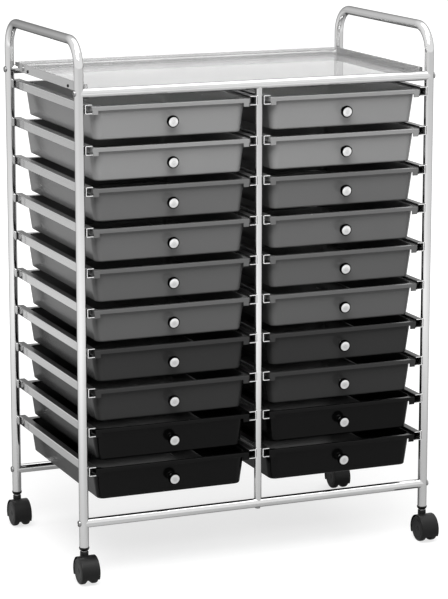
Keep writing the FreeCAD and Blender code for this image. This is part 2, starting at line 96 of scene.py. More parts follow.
class Socket:
    """A shader value whose arithmetic adds Math nodes."""

    def __init__(self, graph: "Graph", socket: bpy.types.NodeSocket) -> None:
        """Wraps an output socket of a graph."""
        self.graph = graph
        self.socket = socket

    def _math(self, operation: str, *values: "Socket | float") -> "Socket":
        """Adds one Math node.

        Args:
            operation: The Math node's operation.
            values: Its inputs in order, as sockets or numbers.

        Returns:
            The node's result.
        """
        return self.graph.out("ShaderNodeMath", 0, {"operation": operation}, dict(enumerate(values)))

    def __add__(self, other: "Socket | float") -> "Socket":
        """The sum with another value."""
        return self._math("ADD", self, other)

    def __radd__(self, other: float) -> "Socket":
        """A number plus this value."""
        return self._math("ADD", other, self)

    def __sub__(self, other: "Socket | float") -> "Socket":
        """The difference from another value."""
        return self._math("SUBTRACT", self, other)

    def __rsub__(self, other: float) -> "Socket":
        """A number minus this value."""
        return self._math("SUBTRACT", other, self)

    def __mul__(self, other: "Socket | float") -> "Socket":
        """The product with another value."""
        return self._math("MULTIPLY", self, other)

    def __rmul__(self, other: float) -> "Socket":
        """A number times this value."""
        return self._math("MULTIPLY", other, self)

    def __truediv__(self, other: "Socket | float") -> "Socket":
        """The quotient by another value."""
        return self._math("DIVIDE", self, other)

    def __rtruediv__(self, other: float) -> "Socket":
        """A number divided by this value."""
        return self._math("DIVIDE", other, self)

    def over(self, low: float, high: float) -> "Socket":
        """Rises smoothly from 0 at low to 1 at high.

        Args:
            low: The value that gives 0.
            high: The value that gives 1.

        Returns:
            The smooth step.
        """
        return self.graph.out("ShaderNodeMapRange", 0, {"interpolation_type": "SMOOTHSTEP"},
                              {"Value": self, "From Min": low, "From Max": high})


@dataclass(frozen=True)
class Grain:
    """A noise pattern: cycles in a metre, octaves, stretch along the axes, and the band that shows."""

    scale: float
    detail: float = 2.0
    stretch: tuple[float, float, float] = (1, 1, 1)
    band: tuple[float, float] | None = None


class Graph:
    """The node tree of one material or of the world."""

    def __init__(self, tree: bpy.types.NodeTree) -> None:
        """Starts an empty tree."""
        self.tree = tree
        tree.nodes.clear()

    def node(self, kind: str, settings: dict | None = None, inputs: dict | None = None) -> bpy.types.Node:
        """Adds a node.

        Args:
            kind: The node's type name.
            settings: Properties to set first.
            inputs: Values, sockets or links of its inputs, by name or index.

        Returns:
            The new node.
        """
        made = self.tree.nodes.new(kind)
        for name, value in (settings or {}).items():
            setattr(made, name, value)
        for key, value in (inputs or {}).items():
            if isinstance(value, Socket):
                value = value.socket
            if isinstance(value, bpy.types.NodeSocket):
                self.tree.links.new(value, made.inputs[key])
            else:
                made.inputs[key].default_value = value
        return made

    def out(self, kind: str, output: str | int, settings: dict | None = None,
            inputs: dict | None = None) -> Socket:
        """Adds a node and wraps one of its outputs.

        Args:
            kind: The node's type name.
            output: The output's name or index.
            settings: Properties to set first.
            inputs: Values or links of its inputs.

        Returns:
            The wrapped output.
        """
        return Socket(self, self.node(kind, settings, inputs).outputs[output])

    def place(self, stretch: Sequence[float] = (1, 1, 1)) -> Socket:
        """Object coordinates in metres, stretched by a factor along each axis."""
        where = self.out("ShaderNodeTexCoord", "Object")
        return self.out("ShaderNodeMapping", "Vector", None, {"Vector": where, "Scale": tuple(stretch)})

    def noise(self, grain: Grain) -> Socket:
        """Noise over the object's space.

        Args:
            grain: The pattern.

        Returns:
            The noise, from 0 to 1, or its smooth step over the pattern's band.
        """
        value = self.out("ShaderNodeTexNoise", "Fac", None,
                         {"Vector": self.place(grain.stretch), "Scale": grain.scale, "Detail": grain.detail})
        return value.over(*grain.band) if grain.band else value

    def dot(self, vector: Socket, side: Sequence[float]) -> Socket:
        """The part of a vector that lies along a direction of length 1."""
        return self.out("ShaderNodeVectorMath", "Value", {"operation": "DOT_PRODUCT"}, {0: vector, 1: side})

    def turned_radius(self) -> Socket:
        """The distance from a turned piece's axis, which the piece carries as an attribute."""
        return self.out("ShaderNodeAttribute", "Fac", {"attribute_name": TURNED_RADIUS})

    def tint(self, amount: Socket, low: Sequence[float], high: Sequence[float]) -> Socket:
        """Mixes two colours.

        Args:
            amount: 0 gives low and 1 gives high.
            low: The first colour.
            high: The second colour.

        Returns:
            The mixed colour.
        """
        return self.out("ShaderNodeMix", 2, {"data_type": "RGBA"}, {0: amount, 6: low, 7: high})

    def bump(self, height: Socket, depth: float) -> Socket:
        """A normal from a height from 0 to 1 that stands for depth metres."""
        return self.out("ShaderNodeBump", "Normal", None, {"Height": height, "Distance": depth})


class Finish:
    """A surface finish. Equal finishes share one material."""

    _made: dict["Finish", bpy.types.Material] = {}

    def dress(self, graph: Graph) -> dict:
        """The Principled shader's inputs for this finish."""
        raise NotImplementedError

    def title(self) -> str:
        """The material's name."""
        return type(self).__name__

    def material(self) -> bpy.types.Material:
        """Builds the material once.

        Returns:
            The material.
        """
        if self not in Finish._made:
            made = bpy.data.materials.new(self.title())
            made.use_nodes = True
            graph = Graph(made.node_tree)
            shader = graph.node("ShaderNodeBsdfPrincipled", None, self.dress(graph))
            graph.node("ShaderNodeOutputMaterial", None, {"Surface": shader.outputs[0]})
            Finish._made[self] = made
        return Finish._made[self]


@dataclass(frozen=True)
class ChromePlate(Finish):
    """Polished chrome plate on steel tube, with faint waves, smears and pin marks, and a painted dark outline
    at its grazing edges.
    """

    tone: float = 224.0
    smear_tone: float = 216.0
    outline_shade_tone: float = 135.0
    smears: Grain = Grain(9.0, 4.0, (1, 1, 0.3), (0.45, 0.75))
    marks: Grain = Grain(900.0, 1.0, band=(0.72, 0.8))
    waves: Grain = Grain(40.0, 1.0, (1, 1, 0.25))
    roughness: float = 0.05
    smear_roughness: float = 0.05
    mark_roughness: float = 0.08
    wave_depth: float = 0.03 * MM

    def dress(self, graph: Graph) -> dict:
        """A metal whose gloss is dulled a little in smears.

        Args:
            graph: The material's nodes.

        Returns:
            The Principled shader's inputs.
        """
        smear, mark = graph.noise(self.smears), graph.noise(self.marks)
        return {
            "Base Color": graph.tint(smear, grey(self.tone), grey(self.smear_tone)),
            "Metallic": 1.0,
            "Roughness": self.roughness + smear * self.smear_roughness + mark * self.mark_roughness,
            # Painted shade: the dark Specular Tint darkens the reflection at the tube's grazing edges into a
            # dark outline.
            "Specular Tint": grey(self.outline_shade_tone),
            "Normal": graph.bump(graph.noise(self.waves), self.wave_depth),
        }


@dataclass(frozen=True)
class ZincSheet(Finish):
    """Bright zinc-plated sheet with fine rolling lines along the runners."""

    front_highlight_tone: float = 244.0
    flange_shade_tone: float = 40.0
    flange_painted_light_lift: float = 0.17
    shine: float = 0.48
    streak_shine: float = 0.084
    cloud_shine: float = 0.056
    low_painted_light: float = 0.09
    streaks: Grain = Grain(420.0, 3.0, (1, 0.02, 1))
    clouds: Grain = Grain(22.0, 3.0)
    facing_band: tuple[float, float] = (0.9, 0.99)
    height_band: tuple[float, float] = (0.5, 0.7)
    metal: float = 0.95
    front_highlight_metal_loss: float = 0.7
    flange_shade_metal_loss: float = 0.35
    roughness: float = 0.05
    streak_roughness: float = 0.06
    cloud_roughness: float = 0.03
    front_highlight_roughness: float = 0.2
    flange_shade_roughness: float = 0.3
    streak_depth: float = 0.01 * MM

    def dress(self, graph: Graph) -> dict:
        """A bright metal with long streaks, painted near-white as a highlight where it faces the front, and
        painted dark as shade where it faces up.

        The colour lies between the painted shade's and the painted highlight's, at the share shine and more
        in streaks.
        As painted light and shade, the plate is duller on the faces of the upper runners and on the flanges
        of the lower ones.

        Args:
            graph: The material's nodes.

        Returns:
            The Principled shader's inputs.
        """
        streak, cloud = graph.noise(self.streaks), graph.noise(self.clouds)
        normal = graph.out("ShaderNodeNewGeometry", "Normal")
        # Painted highlight: faces that look to the front, the runners' cut ends, are painted near-white, less
        # metallic and rougher.
        front_highlight = graph.dot(normal, (0, -1, 0)).over(*self.facing_band)
        # Painted shade: faces that look up, the flanges under the drawers above, are painted dark, less
        # metallic and rougher; on the upper runners they are lifted a little as painted light.
        flange = graph.dot(normal, (0, 0, 1)).over(*self.facing_band)
        high = graph.dot(graph.place(), (0, 0, 1)).over(*self.height_band)
        shine = self.shine + streak * self.streak_shine + cloud * self.cloud_shine
        # Painted light: the faces of the lower runners are made paler.
        shine = shine + (1 - high) * self.low_painted_light
        tone_and_painted_light = shine * (1 - front_highlight) * (1 - flange) + front_highlight + flange * high * self.flange_painted_light_lift
        rough = self.roughness + streak * self.streak_roughness + cloud * self.cloud_roughness
        return {
            "Base Color": graph.tint(tone_and_painted_light, grey(self.flange_shade_tone), grey(self.front_highlight_tone)),
            "Metallic": self.metal - front_highlight * self.front_highlight_metal_loss - flange * self.flange_shade_metal_loss,
            "Roughness": rough + front_highlight * self.front_highlight_roughness + flange * self.flange_shade_roughness,
            "Normal": graph.bump(streak, self.streak_depth),
        }


@dataclass(frozen=True)
class MouldedGloss(Finish):
    """Glossy injection-moulded plastic with a faint orange peel, flow clouds and hairline rubs."""

    shade: Grey = Grey.LIGHT
    black_share: float = 0.3
    tone_shares: tuple[float, float] = (0.97, 1.02)
    clouds: Grain = Grain(7.0, 3.0)
    rubs: Grain = Grain(160.0, 2.0, (1, 0.08, 1), (0.58, 0.8))
    peel: Grain = Grain(520.0, 1.0)
    roughness: float = 0.16
    cloud_roughness: float = 0.05
    rub_roughness: float = 0.1
    gloss: float = 0.35
    dark_gloss: float = 0.15
    peel_depth: float = 0.012 * MM

    def title(self) -> str:
        """The material's name, with its grey."""
        return "MouldedGloss_" + self.shade.name.lower()

    def dress(self, graph: Graph) -> dict:
        """A gloss plastic a little duller where it is handled.

        Args:
            graph: The material's nodes.

        Returns:
            The Principled shader's inputs.
        """
        base = self.shade.value * (self.black_share if self.shade is Grey.BLACK else 1.0)
        cloud, rub = graph.noise(self.clouds), graph.noise(self.rubs)
        return {
            "Base Color": graph.tint(cloud, *(grey(base * share) for share in self.tone_shares)),
            "Roughness": self.roughness + cloud * self.cloud_roughness + rub * self.rub_roughness,
            "Specular IOR Level": self.dark_gloss if self.shade in (Grey.DARK, Grey.BLACK) else self.gloss,
            "Normal": graph.bump(graph.noise(self.peel), self.peel_depth),
        }


@dataclass(frozen=True)
class ClearPlastic(Finish):
    """Clear moulded plastic, with light hairline marks from things laid on it."""

    # Painted reflection: the colour varies in long streaks between these greys, as streaky reflections on the
    # clear plastic.
    reflection_streak_tones: tuple[float, float] = (192.0, 214.0)
    streaks: Grain = Grain(9.0, 3.0, (1, 0.12, 1))
    rubs: Grain = Grain(260.0, 2.0, (1, 0.05, 1), (0.6, 0.82))
    clouds: Grain = Grain(6.0, 2.0)
    roughness: float = 0.03
    rub_roughness: float = 0.08
    cloud_roughness: float = 0.03
    refraction: float = 1.49
    clearness: float = 0.7

    def dress(self, graph: Graph) -> dict:
        """A slightly milky clear shader with faint painted reflection streaks in its colour, and marks in its
        gloss.

        Args:
            graph: The material's nodes.

        Returns:
            The Principled shader's inputs.
        """
        rub, cloud = graph.noise(self.rubs), graph.noise(self.clouds)
        return {
            "Base Color": graph.tint(graph.noise(self.streaks), *(grey(tone) for tone in self.reflection_streak_tones)),
            "Roughness": self.roughness + rub * self.rub_roughness + cloud * self.cloud_roughness,
            "IOR": self.refraction,
            "Transmission Weight": self.clearness,
        }


@dataclass(frozen=True)
class TurnedMetal(Finish):
    """Bright metal turned on a lathe: fine rings, a duller centre, and a painted dark outline of shade round
    its edge and at grazing angles.
    """

    tone: float = 246.0
    outline_shade_tone: float = 12.0
    grazing_tone: float = 10.0
    outline_shade_radii: tuple[float, float] = (7.889 * MM, 8.211 * MM)
    centre_radii: tuple[float, float] = (2.2 * MM, 5.5 * MM)
    shine: float = 0.9
    smear_shine: float = 0.1
    centre_dullness: float = 0.16
    ring_scale: float = 3200.0
    smears: Grain = Grain(140.0, 2.0)
    roughness: float = 0.12
    ring_roughness: float = 0.12
    smear_roughness: float = 0.05
    ring_depth: float = 0.01 * MM

    def dress(self, graph: Graph) -> dict:
        """A metal with ring marks read from the piece's own radius attribute.

        Args:
            graph: The material's nodes.

        Returns:
            The Principled shader's inputs.
        """
        radius, smear = graph.turned_radius(), graph.noise(self.smears)
        rings = graph.out("ShaderNodeTexNoise", "Fac", {"noise_dimensions": "1D"},
                          {"W": radius, "Scale": self.ring_scale})
        # Painted shade: between the outline radii the head's edge is painted dark, as a dark outline round
        # the knob.
        edge, centre = radius.over(*self.outline_shade_radii), 1 - radius.over(*self.centre_radii)
        shine = (self.shine + smear * self.smear_shine - centre * self.centre_dullness) * (1 - edge)
        return {
            "Base Color": graph.tint(shine, grey(self.outline_shade_tone), grey(self.tone)),
            "Metallic": 1.0,
            # Painted shade: the dark Specular Tint darkens the reflection at grazing angles.
            "Specular Tint": grey(self.grazing_tone),
            "Roughness": self.roughness + rings * self.ring_roughness + smear * self.smear_roughness,
            "Normal": graph.bump(rings, self.ring_depth),
        }


@dataclass(frozen=True)
class PlatedSteel(Finish):
    """Zinc-plated steel of screws, stems and axles."""

    tone: float = 176.0
    tone_steps: tuple[float, float] = (-14.0, 8.0)
    grazing_tone: float = 40.0
    clouds: Grain = Grain(300.0, 3.0)
    roughness: float = 0.22
    cloud_roughness: float = 0.16
    cloud_depth: float = 0.01 * MM

    def dress(self, graph: Graph) -> dict:
        """A satin metal with small clouds.

        Args:
            graph: The material's nodes.

        Returns:
            The Principled shader's inputs.
        """
        cloud = graph.noise(self.clouds)
        return {
            "Base Color": graph.tint(cloud, *(grey(self.tone + step) for step in self.tone_steps)),
            "Metallic": 1.0,
            "Specular Tint": grey(self.grazing_tone),
            "Roughness": self.roughness + cloud * self.cloud_roughness,
            "Normal": graph.bump(cloud, self.cloud_depth),
        }


@dataclass(frozen=True)
class CasterPlastic(Finish):
    """Black moulded plastic with a fine spark-eroded grain."""

    tone: float = 15.0
    tone_steps: tuple[float, float] = (-5.0, 7.0)
    grain: Grain = Grain(1900.0, 2.0)
    clouds: Grain = Grain(45.0, 3.0)
    roughness: float = 0.36
    cloud_roughness: float = 0.12
    grain_roughness: float = 0.06
    gloss: float = 0.25
    grain_depth: float = 0.03 * MM

    def dress(self, graph: Graph) -> dict:
        """A dull plastic with grain and faint clouds of dust.

        Args:
            graph: The material's nodes.

        Returns:
            The Principled shader's inputs.
        """
        grain, cloud = graph.noise(self.grain), graph.noise(self.clouds)
        return {
            "Base Color": graph.tint(cloud, *(grey(self.tone + step) for step in self.tone_steps)),
            "Roughness": self.roughness + cloud * self.cloud_roughness + grain * self.grain_roughness,
            "Specular IOR Level": self.gloss,
            "Normal": graph.bump(grain, self.grain_depth),
        }


@dataclass(frozen=True)
class WheelPlastic(Finish):
    """Hard black wheel plastic, greyed by use round the tread."""

    tone: float = 22.0
    worn_tone: float = 52.0
    tread_radii: tuple[float, float] = (21.39 * MM, 22.885 * MM)
    grit: Grain = Grain(700.0, 3.0)
    worn_band: tuple[float, float] = (0.3, 0.8)
    roughness: float = 0.36
    tread_roughness: float = 0.2
    grit_roughness: float = 0.08
    gloss: float = 0.25
    grit_depth: float = 0.04 * MM

    def dress(self, graph: Graph) -> dict:
        """A dull plastic that is paler and rougher where it rolls.

        Args:
            graph: The material's nodes.

        Returns:
            The Principled shader's inputs.
        """
        tread, grit = graph.turned_radius().over(*self.tread_radii), graph.noise(self.grit)
        worn = tread * grit.over(*self.worn_band)
        return {
            "Base Color": graph.tint(worn, grey(self.tone), grey(self.worn_tone)),
            "Roughness": self.roughness + tread * self.tread_roughness + grit * self.grit_roughness,
            "Specular IOR Level": self.gloss,
            "Normal": graph.bump(grit, self.grit_depth),
        }


def put_in_scene(name: str, data: bpy.types.ID) -> bpy.types.Object:
    """Makes an object of some data, at the origin, and links it to the scene.

    Args:
        name: The object's name.
        data: Its mesh, lamp or camera.

    Returns:
        The object.
    """
    made = bpy.data.objects.new(name, data)
    bpy.context.scene.collection.objects.link(made)
    return made


class Surface:
    """Grids of points gathered into one closed mesh."""

    def __init__(self) -> None:
        """Starts with nothing."""
        self.points: list[np.ndarray] = []
        self.quads: list[np.ndarray] = []
        self.count = 0

    def add(self, grid: np.ndarray, close_rows: bool = False) -> "Surface":
        """Adds a grid: rows of points, each joined to its neighbours by quads.

        The last column joins the first, because every row goes once round its piece.

        Args:
            grid: Points as rows by columns by 3.
            close_rows: Whether the last row joins the first.

        Returns:
            This surface, so that calls chain.
        """
        rows, columns = grid.shape[:2]
        index = np.arange(rows * columns).reshape(rows, columns) + self.count
        if close_rows:
            index = np.vstack([index, index[:1]])
        index = np.hstack([index, index[:, :1]])
        loops = (index[:-1, :-1], index[:-1, 1:], index[1:, 1:], index[1:, :-1])
        self.quads.append(np.stack(loops, axis=-1).reshape(-1, 4))
        self.points.append(grid.reshape(-1, 3))
        self.count += rows * columns
        return self

    def mesh(self, name: str, crease_degrees: float) -> bpy.types.Mesh:
        """Merges the grids, closes poles and seams and turns the faces outwards.

        Args:
            name: The mesh's name.
            crease_degrees: Edges that bend more than this stay sharp.

        Returns:
            The mesh.
        """
        made = bpy.data.meshes.new(name)
        made.from_pydata(np.concatenate(self.points), [], np.concatenate(self.quads).tolist())
        work = bmesh.new()
        work.from_mesh(made)
        bmesh.ops.remove_doubles(work, verts=work.verts, dist=MERGE_DISTANCE)
        bmesh.ops.dissolve_degenerate(work, edges=work.edges, dist=LEAST_EDGE)
        bmesh.ops.recalc_face_normals(work, faces=work.faces)
        work.to_mesh(made)
        work.free()
        made.shade_smooth()
        made.set_sharp_from_angle(angle=math.radians(crease_degrees))
        return made

    def piece(self, name: str, finish: Finish, body: str, slot: str,
              replaces: Sequence[str] = (), crease_degrees: float = 38.0) -> bpy.types.Object:
        """Makes the finished piece and sets it on its body.

        Args:
            name: The piece's name.
            finish: Its finish.
            body: The body that it rides on.
            slot: The material slot's name; not used.
            replaces: The frame's nodes that it stands for.
            crease_degrees: Edges that bend more than this stay sharp.

        Returns:
            The object.
        """
        made = put_in_scene(name, self.mesh(name, crease_degrees))
        made.data.materials.append(finish.material())
        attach(made, body)
        if replaces:
            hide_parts(*replaces)
        LOG.info("%s: %d vertices on %s", name, len(made.data.vertices), body)
        return made


def mark_radius(piece: bpy.types.Object, centre: Sequence[float], axis: Sequence[float]) -> None:
    """Gives each vertex its distance from an axis, for finishes that follow a turned form.

    Args:
        piece: The object.
        centre: A point on the axis.
        axis: The axis's direction.
    """
    mesh = piece.data
    flat = np.zeros(len(mesh.vertices) * 3)
    mesh.vertices.foreach_get("co", flat)
    along = np.array(axis, float) / np.linalg.norm(axis)
    arm = flat.reshape(-1, 3) - np.array(centre, float)
    arm -= np.outer(arm @ along, along)
    attribute = mesh.attributes.new(TURNED_RADIUS, "FLOAT", "POINT")
    attribute.data.foreach_set("value", np.linalg.norm(arm, axis=1).astype(np.float32))


def bend(from_point: Sequence[float], corner: Sequence[float], to_point: Sequence[float],
         steps: int = 3) -> list[tuple[float, float]]:
    """A rounded corner in a profile: a quadratic curve from one point to another round a corner.

    Args:
        from_point: Where the curve starts.
        corner: The sharp corner that it rounds.
        to_point: Where the curve ends.
        steps: How many stretches it has.

    Returns:
        The curve's points, both ends with them.
    """
    t = np.linspace(0, 1, steps + 1)[:, None]
    a, b, c = (np.array(p, float) for p in (from_point, corner, to_point))
    curve = (1 - t) ** 2 * a + 2 * t * (1 - t) * b + t ** 2 * c
    return [tuple(p) for p in curve]


def full_turn(steps: int) -> np.ndarray:
    """Equal angles once round, without the last, which is the first again."""
    return np.arange(steps) * 2 * math.pi / steps


def outline(half: float, front: float, back: float, radius: float, stops: Sequence[float],
            steps: int = 8) -> np.ndarray:
    """Stations round a level rounded rectangle that is centred on x = 0.

    Each corner is a quarter circle about its own centre; stops adds stations along each straight.
    The order is back right corner, back, back left corner, left, and so on round.

    Args:
        half: Half the width.
        front: The y of the front side.
        back: The y of the back side.
        radius: The corners' radius.
        stops: Shares of each straight where further stations lie.
        steps: Stretches in each corner.

    Returns:
        The stations as an array of x and y.
    """
    radius = max(radius, LEAST_RADIUS)
    angles = np.linspace(0, math.pi / 2, steps + 1)[None] + (np.arange(4) * math.pi / 2)[:, None]
    centres = np.array([[half - radius, back - radius], [radius - half, back - radius],
                        [radius - half, front + radius], [half - radius, front + radius]])
    arcs = centres[:, None] + radius * np.stack([np.cos(angles), np.sin(angles)], axis=-1)
    share = np.array(stops)[None, :, None]
    straights = arcs[:, -1:] * (1 - share) + np.roll(arcs, -1, axis=0)[:, :1] * share
    return np.concatenate([arcs, straights], axis=1).reshape(-1, 2)


def level(stations: np.ndarray, height: float | np.ndarray) -> np.ndarray:
    """Lifts x and y stations to a height, one for all or one for each."""
    return np.column_stack([stations, np.broadcast_to(height, len(stations))])


def pole(stations: np.ndarray, height: float) -> np.ndarray:
    """A row of equal points in the middle of a ring of stations, which closes it."""
    return level(np.broadcast_to(stations.mean(axis=0), stations.shape), height)


def lathe(profile: Sequence[Sequence[float]], centre: Sequence[float], axis: Sequence[float],
          steps: int) -> np.ndarray:
    """A profile of radius and height turned once round an axis.

    Args:
        profile: Pairs of radius and height; a radius of 0 closes the form.
        centre: The axis's foot.
        axis: The axis's direction.
        steps: Stations in the turn.

    Returns:
        The grid, one row for each pair; its columns close.
    """
    up = np.array(axis, float) / np.linalg.norm(axis)
    side = np.cross(up, (0, 1, 0) if abs(up[1]) < 0.9 else (1, 0, 0))
    side /= np.linalg.norm(side)
    turn = full_turn(steps)
    spokes = np.cos(turn)[:, None] * side + np.sin(turn)[:, None] * np.cross(up, side)
    pairs = np.array(profile, float)
    return np.array(centre, float) + pairs[:, :1, None] * spokes[None] + pairs[:, 1, None, None] * up


def tube(path: np.ndarray, radius: float, steps: int) -> np.ndarray:
    """A closed round rod carried along a path in a plane of constant x.

    Each ring lies across the path's own direction; a pole row closes each end.

    Args:
        path: The centre line's points.
        radius: The rod's radius.
        steps: Stations round the rod.

    Returns:
        The grid, one row for each point of the path and one for each pole.
    """
    along = np.gradient(path, axis=0)
    along /= np.linalg.norm(along, axis=1)[:, None]
    side = np.array([1.0, 0, 0])
    across = np.cross(side, along)
    turn = full_turn(steps)[None, :, None]
    rings = path[:, None] + radius * (np.cos(turn) * side + np.sin(turn) * across[:, None])
    start, end = (np.broadcast_to(path[i], (1, steps, 3)) for i in (0, -1))
    return np.concatenate([start, rings, end])


@dataclass
class TubeFrame:
    """The chrome tubes: two bent side frames, four rails and two posts.

    The rails and the posts end in saddles against the tube that they meet.
    """

    finish: Finish = ChromePlate()
    bend_radius: float = 45.0 * MM
    bend_steps: int = 20
    leg_rows: int = 12
    rod_rows: int = 9
    steps: int = 48

    def __post_init__(self) -> None:
        """Reads the tubes' places from the frame."""
        low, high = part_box("right_side_frame")
        self.radius = (high.x - low.x) / 2
        self.leg_x = (high.x + low.x) / 2
        self.front, self.rear = low.y + self.radius, high.y - self.radius
        self.foot, self.handle = low.z, high.z - self.radius
        low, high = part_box("cross_rails")
        self.rail_heights = (low.z + self.radius, high.z - self.radius)
        low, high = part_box("center_posts")
        self.post_radius = (high.x - low.x) / 2

    def centre_line(self, x: float) -> np.ndarray:
        """The path of a side frame: up a leg, round, along the handle, round and down.

        Args:
            x: Where the frame stands.

        Returns:
            The path's points.
        """
        turn = np.linspace(0, math.pi / 2, self.bend_steps + 1)
        reach, rise = self.bend_radius * (1 - np.cos(turn)), self.bend_radius * np.sin(turn)
        top = self.handle - self.bend_radius
        front = np.column_stack([self.front + reach, top + rise])
        back = np.column_stack([self.rear - reach, top + rise])[::-1]
        heights = np.linspace(self.foot, top, self.leg_rows)[:-1]
        up = np.column_stack([np.full_like(heights, self.front), heights])
        down = np.column_stack([np.full_like(heights, self.rear), heights])[::-1]
        middle = np.array([[(self.front + self.rear) / 2, self.handle]])
        flat = np.concatenate([up, front, middle, back, down])
        return np.column_stack([np.full(len(flat), x), flat])

    def straight(self, centre: np.ndarray, across: np.ndarray, along: np.ndarray, half: float,
                 radius: float, other: float) -> np.ndarray:
        """A rod between two tubes, with saddle ends.

        A point at distance w off the other tube's axis ends sqrt(other^2 - w^2) short of it.

        Args:
            centre: The rod's middle.
            across: The direction off the other tubes' axes.
            along: The rod's direction.
            half: Half the distance between the other tubes' axes.
            radius: The rod's radius.
            other: The other tubes' radius.

        Returns:
            The closed grid.
        """
        turn = full_turn(self.steps)
        off = radius * np.cos(turn)
        third = np.cross(along, across)
        ring = centre + off[:, None] * across + radius * np.sin(turn)[:, None] * third
        reach = half - np.sqrt(np.maximum(other ** 2 - off ** 2, 0))
        stations = np.linspace(-1, 1, self.rod_rows)[:, None, None] * reach[None, :, None] * along
        ends = [np.broadcast_to(centre + sign * (half - other) * along, (1, self.steps, 3))
                for sign in (-1, 1)]
        return np.concatenate([ends[0], ring[None] + stations, ends[1]])

    def build(self) -> None:
        """Makes the side frames, the rails and the posts."""
        for side, sign in SIDES:
            bent = Surface().add(tube(self.centre_line(sign * self.leg_x), self.radius, self.steps))
            bent.piece(side + "_bent_tube", self.finish, "frame", "chrome_tube", [side + "_side_frame"])
        x_axis, y_axis, z_axis = np.eye(3)
        rails, posts = Surface(), Surface()
        low, high = self.rail_heights
        for y in (self.front, self.rear):
            for z in self.rail_heights:
                rails.add(self.straight(np.array([0, y, z]), y_axis, x_axis, self.leg_x, self.radius,
                                        self.radius))
            posts.add(self.straight(np.array([0, y, (low + high) / 2]), y_axis, z_axis, (high - low) / 2,
                                    self.post_radius, self.radius))
        rails.piece("rails", self.finish, "frame", "chrome_tube", ["cross_rails"])
        posts.piece("posts", self.finish, "frame", "chrome_tube", ["center_posts"])


@dataclass(frozen=True)
class ScrewHead:
    """A low domed head with a round recess."""

    radius: float
    height: float
    sunk: float = 0.0
    recess_radius: float = 2.3 * MM
    recess_depth: float = 1.3 * MM
    recess_radius_share: float = 0.5
    recess_depth_share: float = 0.6
    recess_floor_share: float = 0.9
    recess_cone_share: float = 1.1
    edge_share: float = 0.45
    crown_share: float = 1.6

    def profile(self) -> list[tuple[float, float]]:
        """The head's profile, from its foot, which is sunk into its seat, to its recess.

        Returns:
            Pairs of radius and height.
        """
        radius, height, edge = self.radius, self.height, self.height * self.edge_share
        recess = min(self.recess_radius, radius * self.recess_radius_share)
        depth = min(self.recess_depth, height * self.recess_depth_share)
        crown = (radius - edge * self.crown_share, height)
        rim = bend((radius, height - edge), (radius, height), crown, 4)
        return [(0, -self.sunk), (radius, -self.sunk)] + rim + [
            (recess, height), (recess * self.recess_floor_share, height - depth),
            (0, height - depth * self.recess_cone_share)]


@dataclass
class Fasteners:
    """The heads of the rail bolts, the post bolts and the tray's small screws."""

    tubes: TubeFrame
    finish: Finish = PlatedSteel(tone=158.0)
    dark_finish: Finish = PlatedSteel(tone=52.0)
    rail_head: ScrewHead = ScrewHead(5.25 * MM, 2.2 * MM, 2.0 * MM)
    post_head: ScrewHead = ScrewHead(4.4 * MM, 2.0 * MM, 2.0 * MM)
    tray_head: ScrewHead = ScrewHead(2.6 * MM, 1.4 * MM)
    tray_shank_radius: float = 1.5 * MM
    tray_shank_reach: float = 3.6 * MM
    tray_screw_offset: float = 106.0 * MM
    tray_screw_rise: float = 3.99 * MM
    rail_steps: int = 32
    post_steps: int = 28
    tray_steps: int = 24

    def build(self) -> None:
        """Makes the bolt heads as one piece and the tray's dark screws as another."""
        tubes, bolts, screws = self.tubes, Surface(), Surface()
        middle = (tubes.front + tubes.rear) / 2
        strip_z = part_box("top_tray")[0].z + self.tray_screw_rise
        shank = [(0, -self.tray_shank_reach), (self.tray_shank_radius, -self.tray_shank_reach),
                 (self.tray_shank_radius, 0)]
        for _, sign in SIDES:
            for y in (tubes.front, tubes.rear):
                for z in tubes.rail_heights:
                    centre = (sign * (tubes.leg_x + tubes.radius), y, z)
                    bolts.add(lathe(self.rail_head.profile(), centre, (sign, 0, 0), self.rail_steps))
            for way in (-1, 1):
                centre = (sign * (tubes.leg_x - tubes.radius), middle + way * self.tray_screw_offset, strip_z)
                screws.add(lathe(shank + self.tray_head.profile()[1:], centre, (sign, 0, 0), self.tray_steps))
        for y in (tubes.front, tubes.rear):
            centre = (0, y, tubes.rail_heights[0] - tubes.radius)
            bolts.add(lathe(self.post_head.profile(), centre, (0, 0, -1), self.post_steps))
        bolts.piece("bolt_heads", self.finish, "frame", "screw_steel", ["frame_screws"])
        screws.piece("tray_screws", self.dark_finish, "frame", "screw_steel")


@dataclass
class Runners:
    """The channel runners, which keep the frame's own solids and get their finish."""

    finish: Finish = ZincSheet()
    node: str = "runners"

    def build(self) -> None:
        """Dresses the frame's runners."""
        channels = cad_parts[self.node]
        channels.data.materials.clear()
        channels.data.materials.append(self.finish.material())
        LOG.info("%s keeps its solids", self.node)


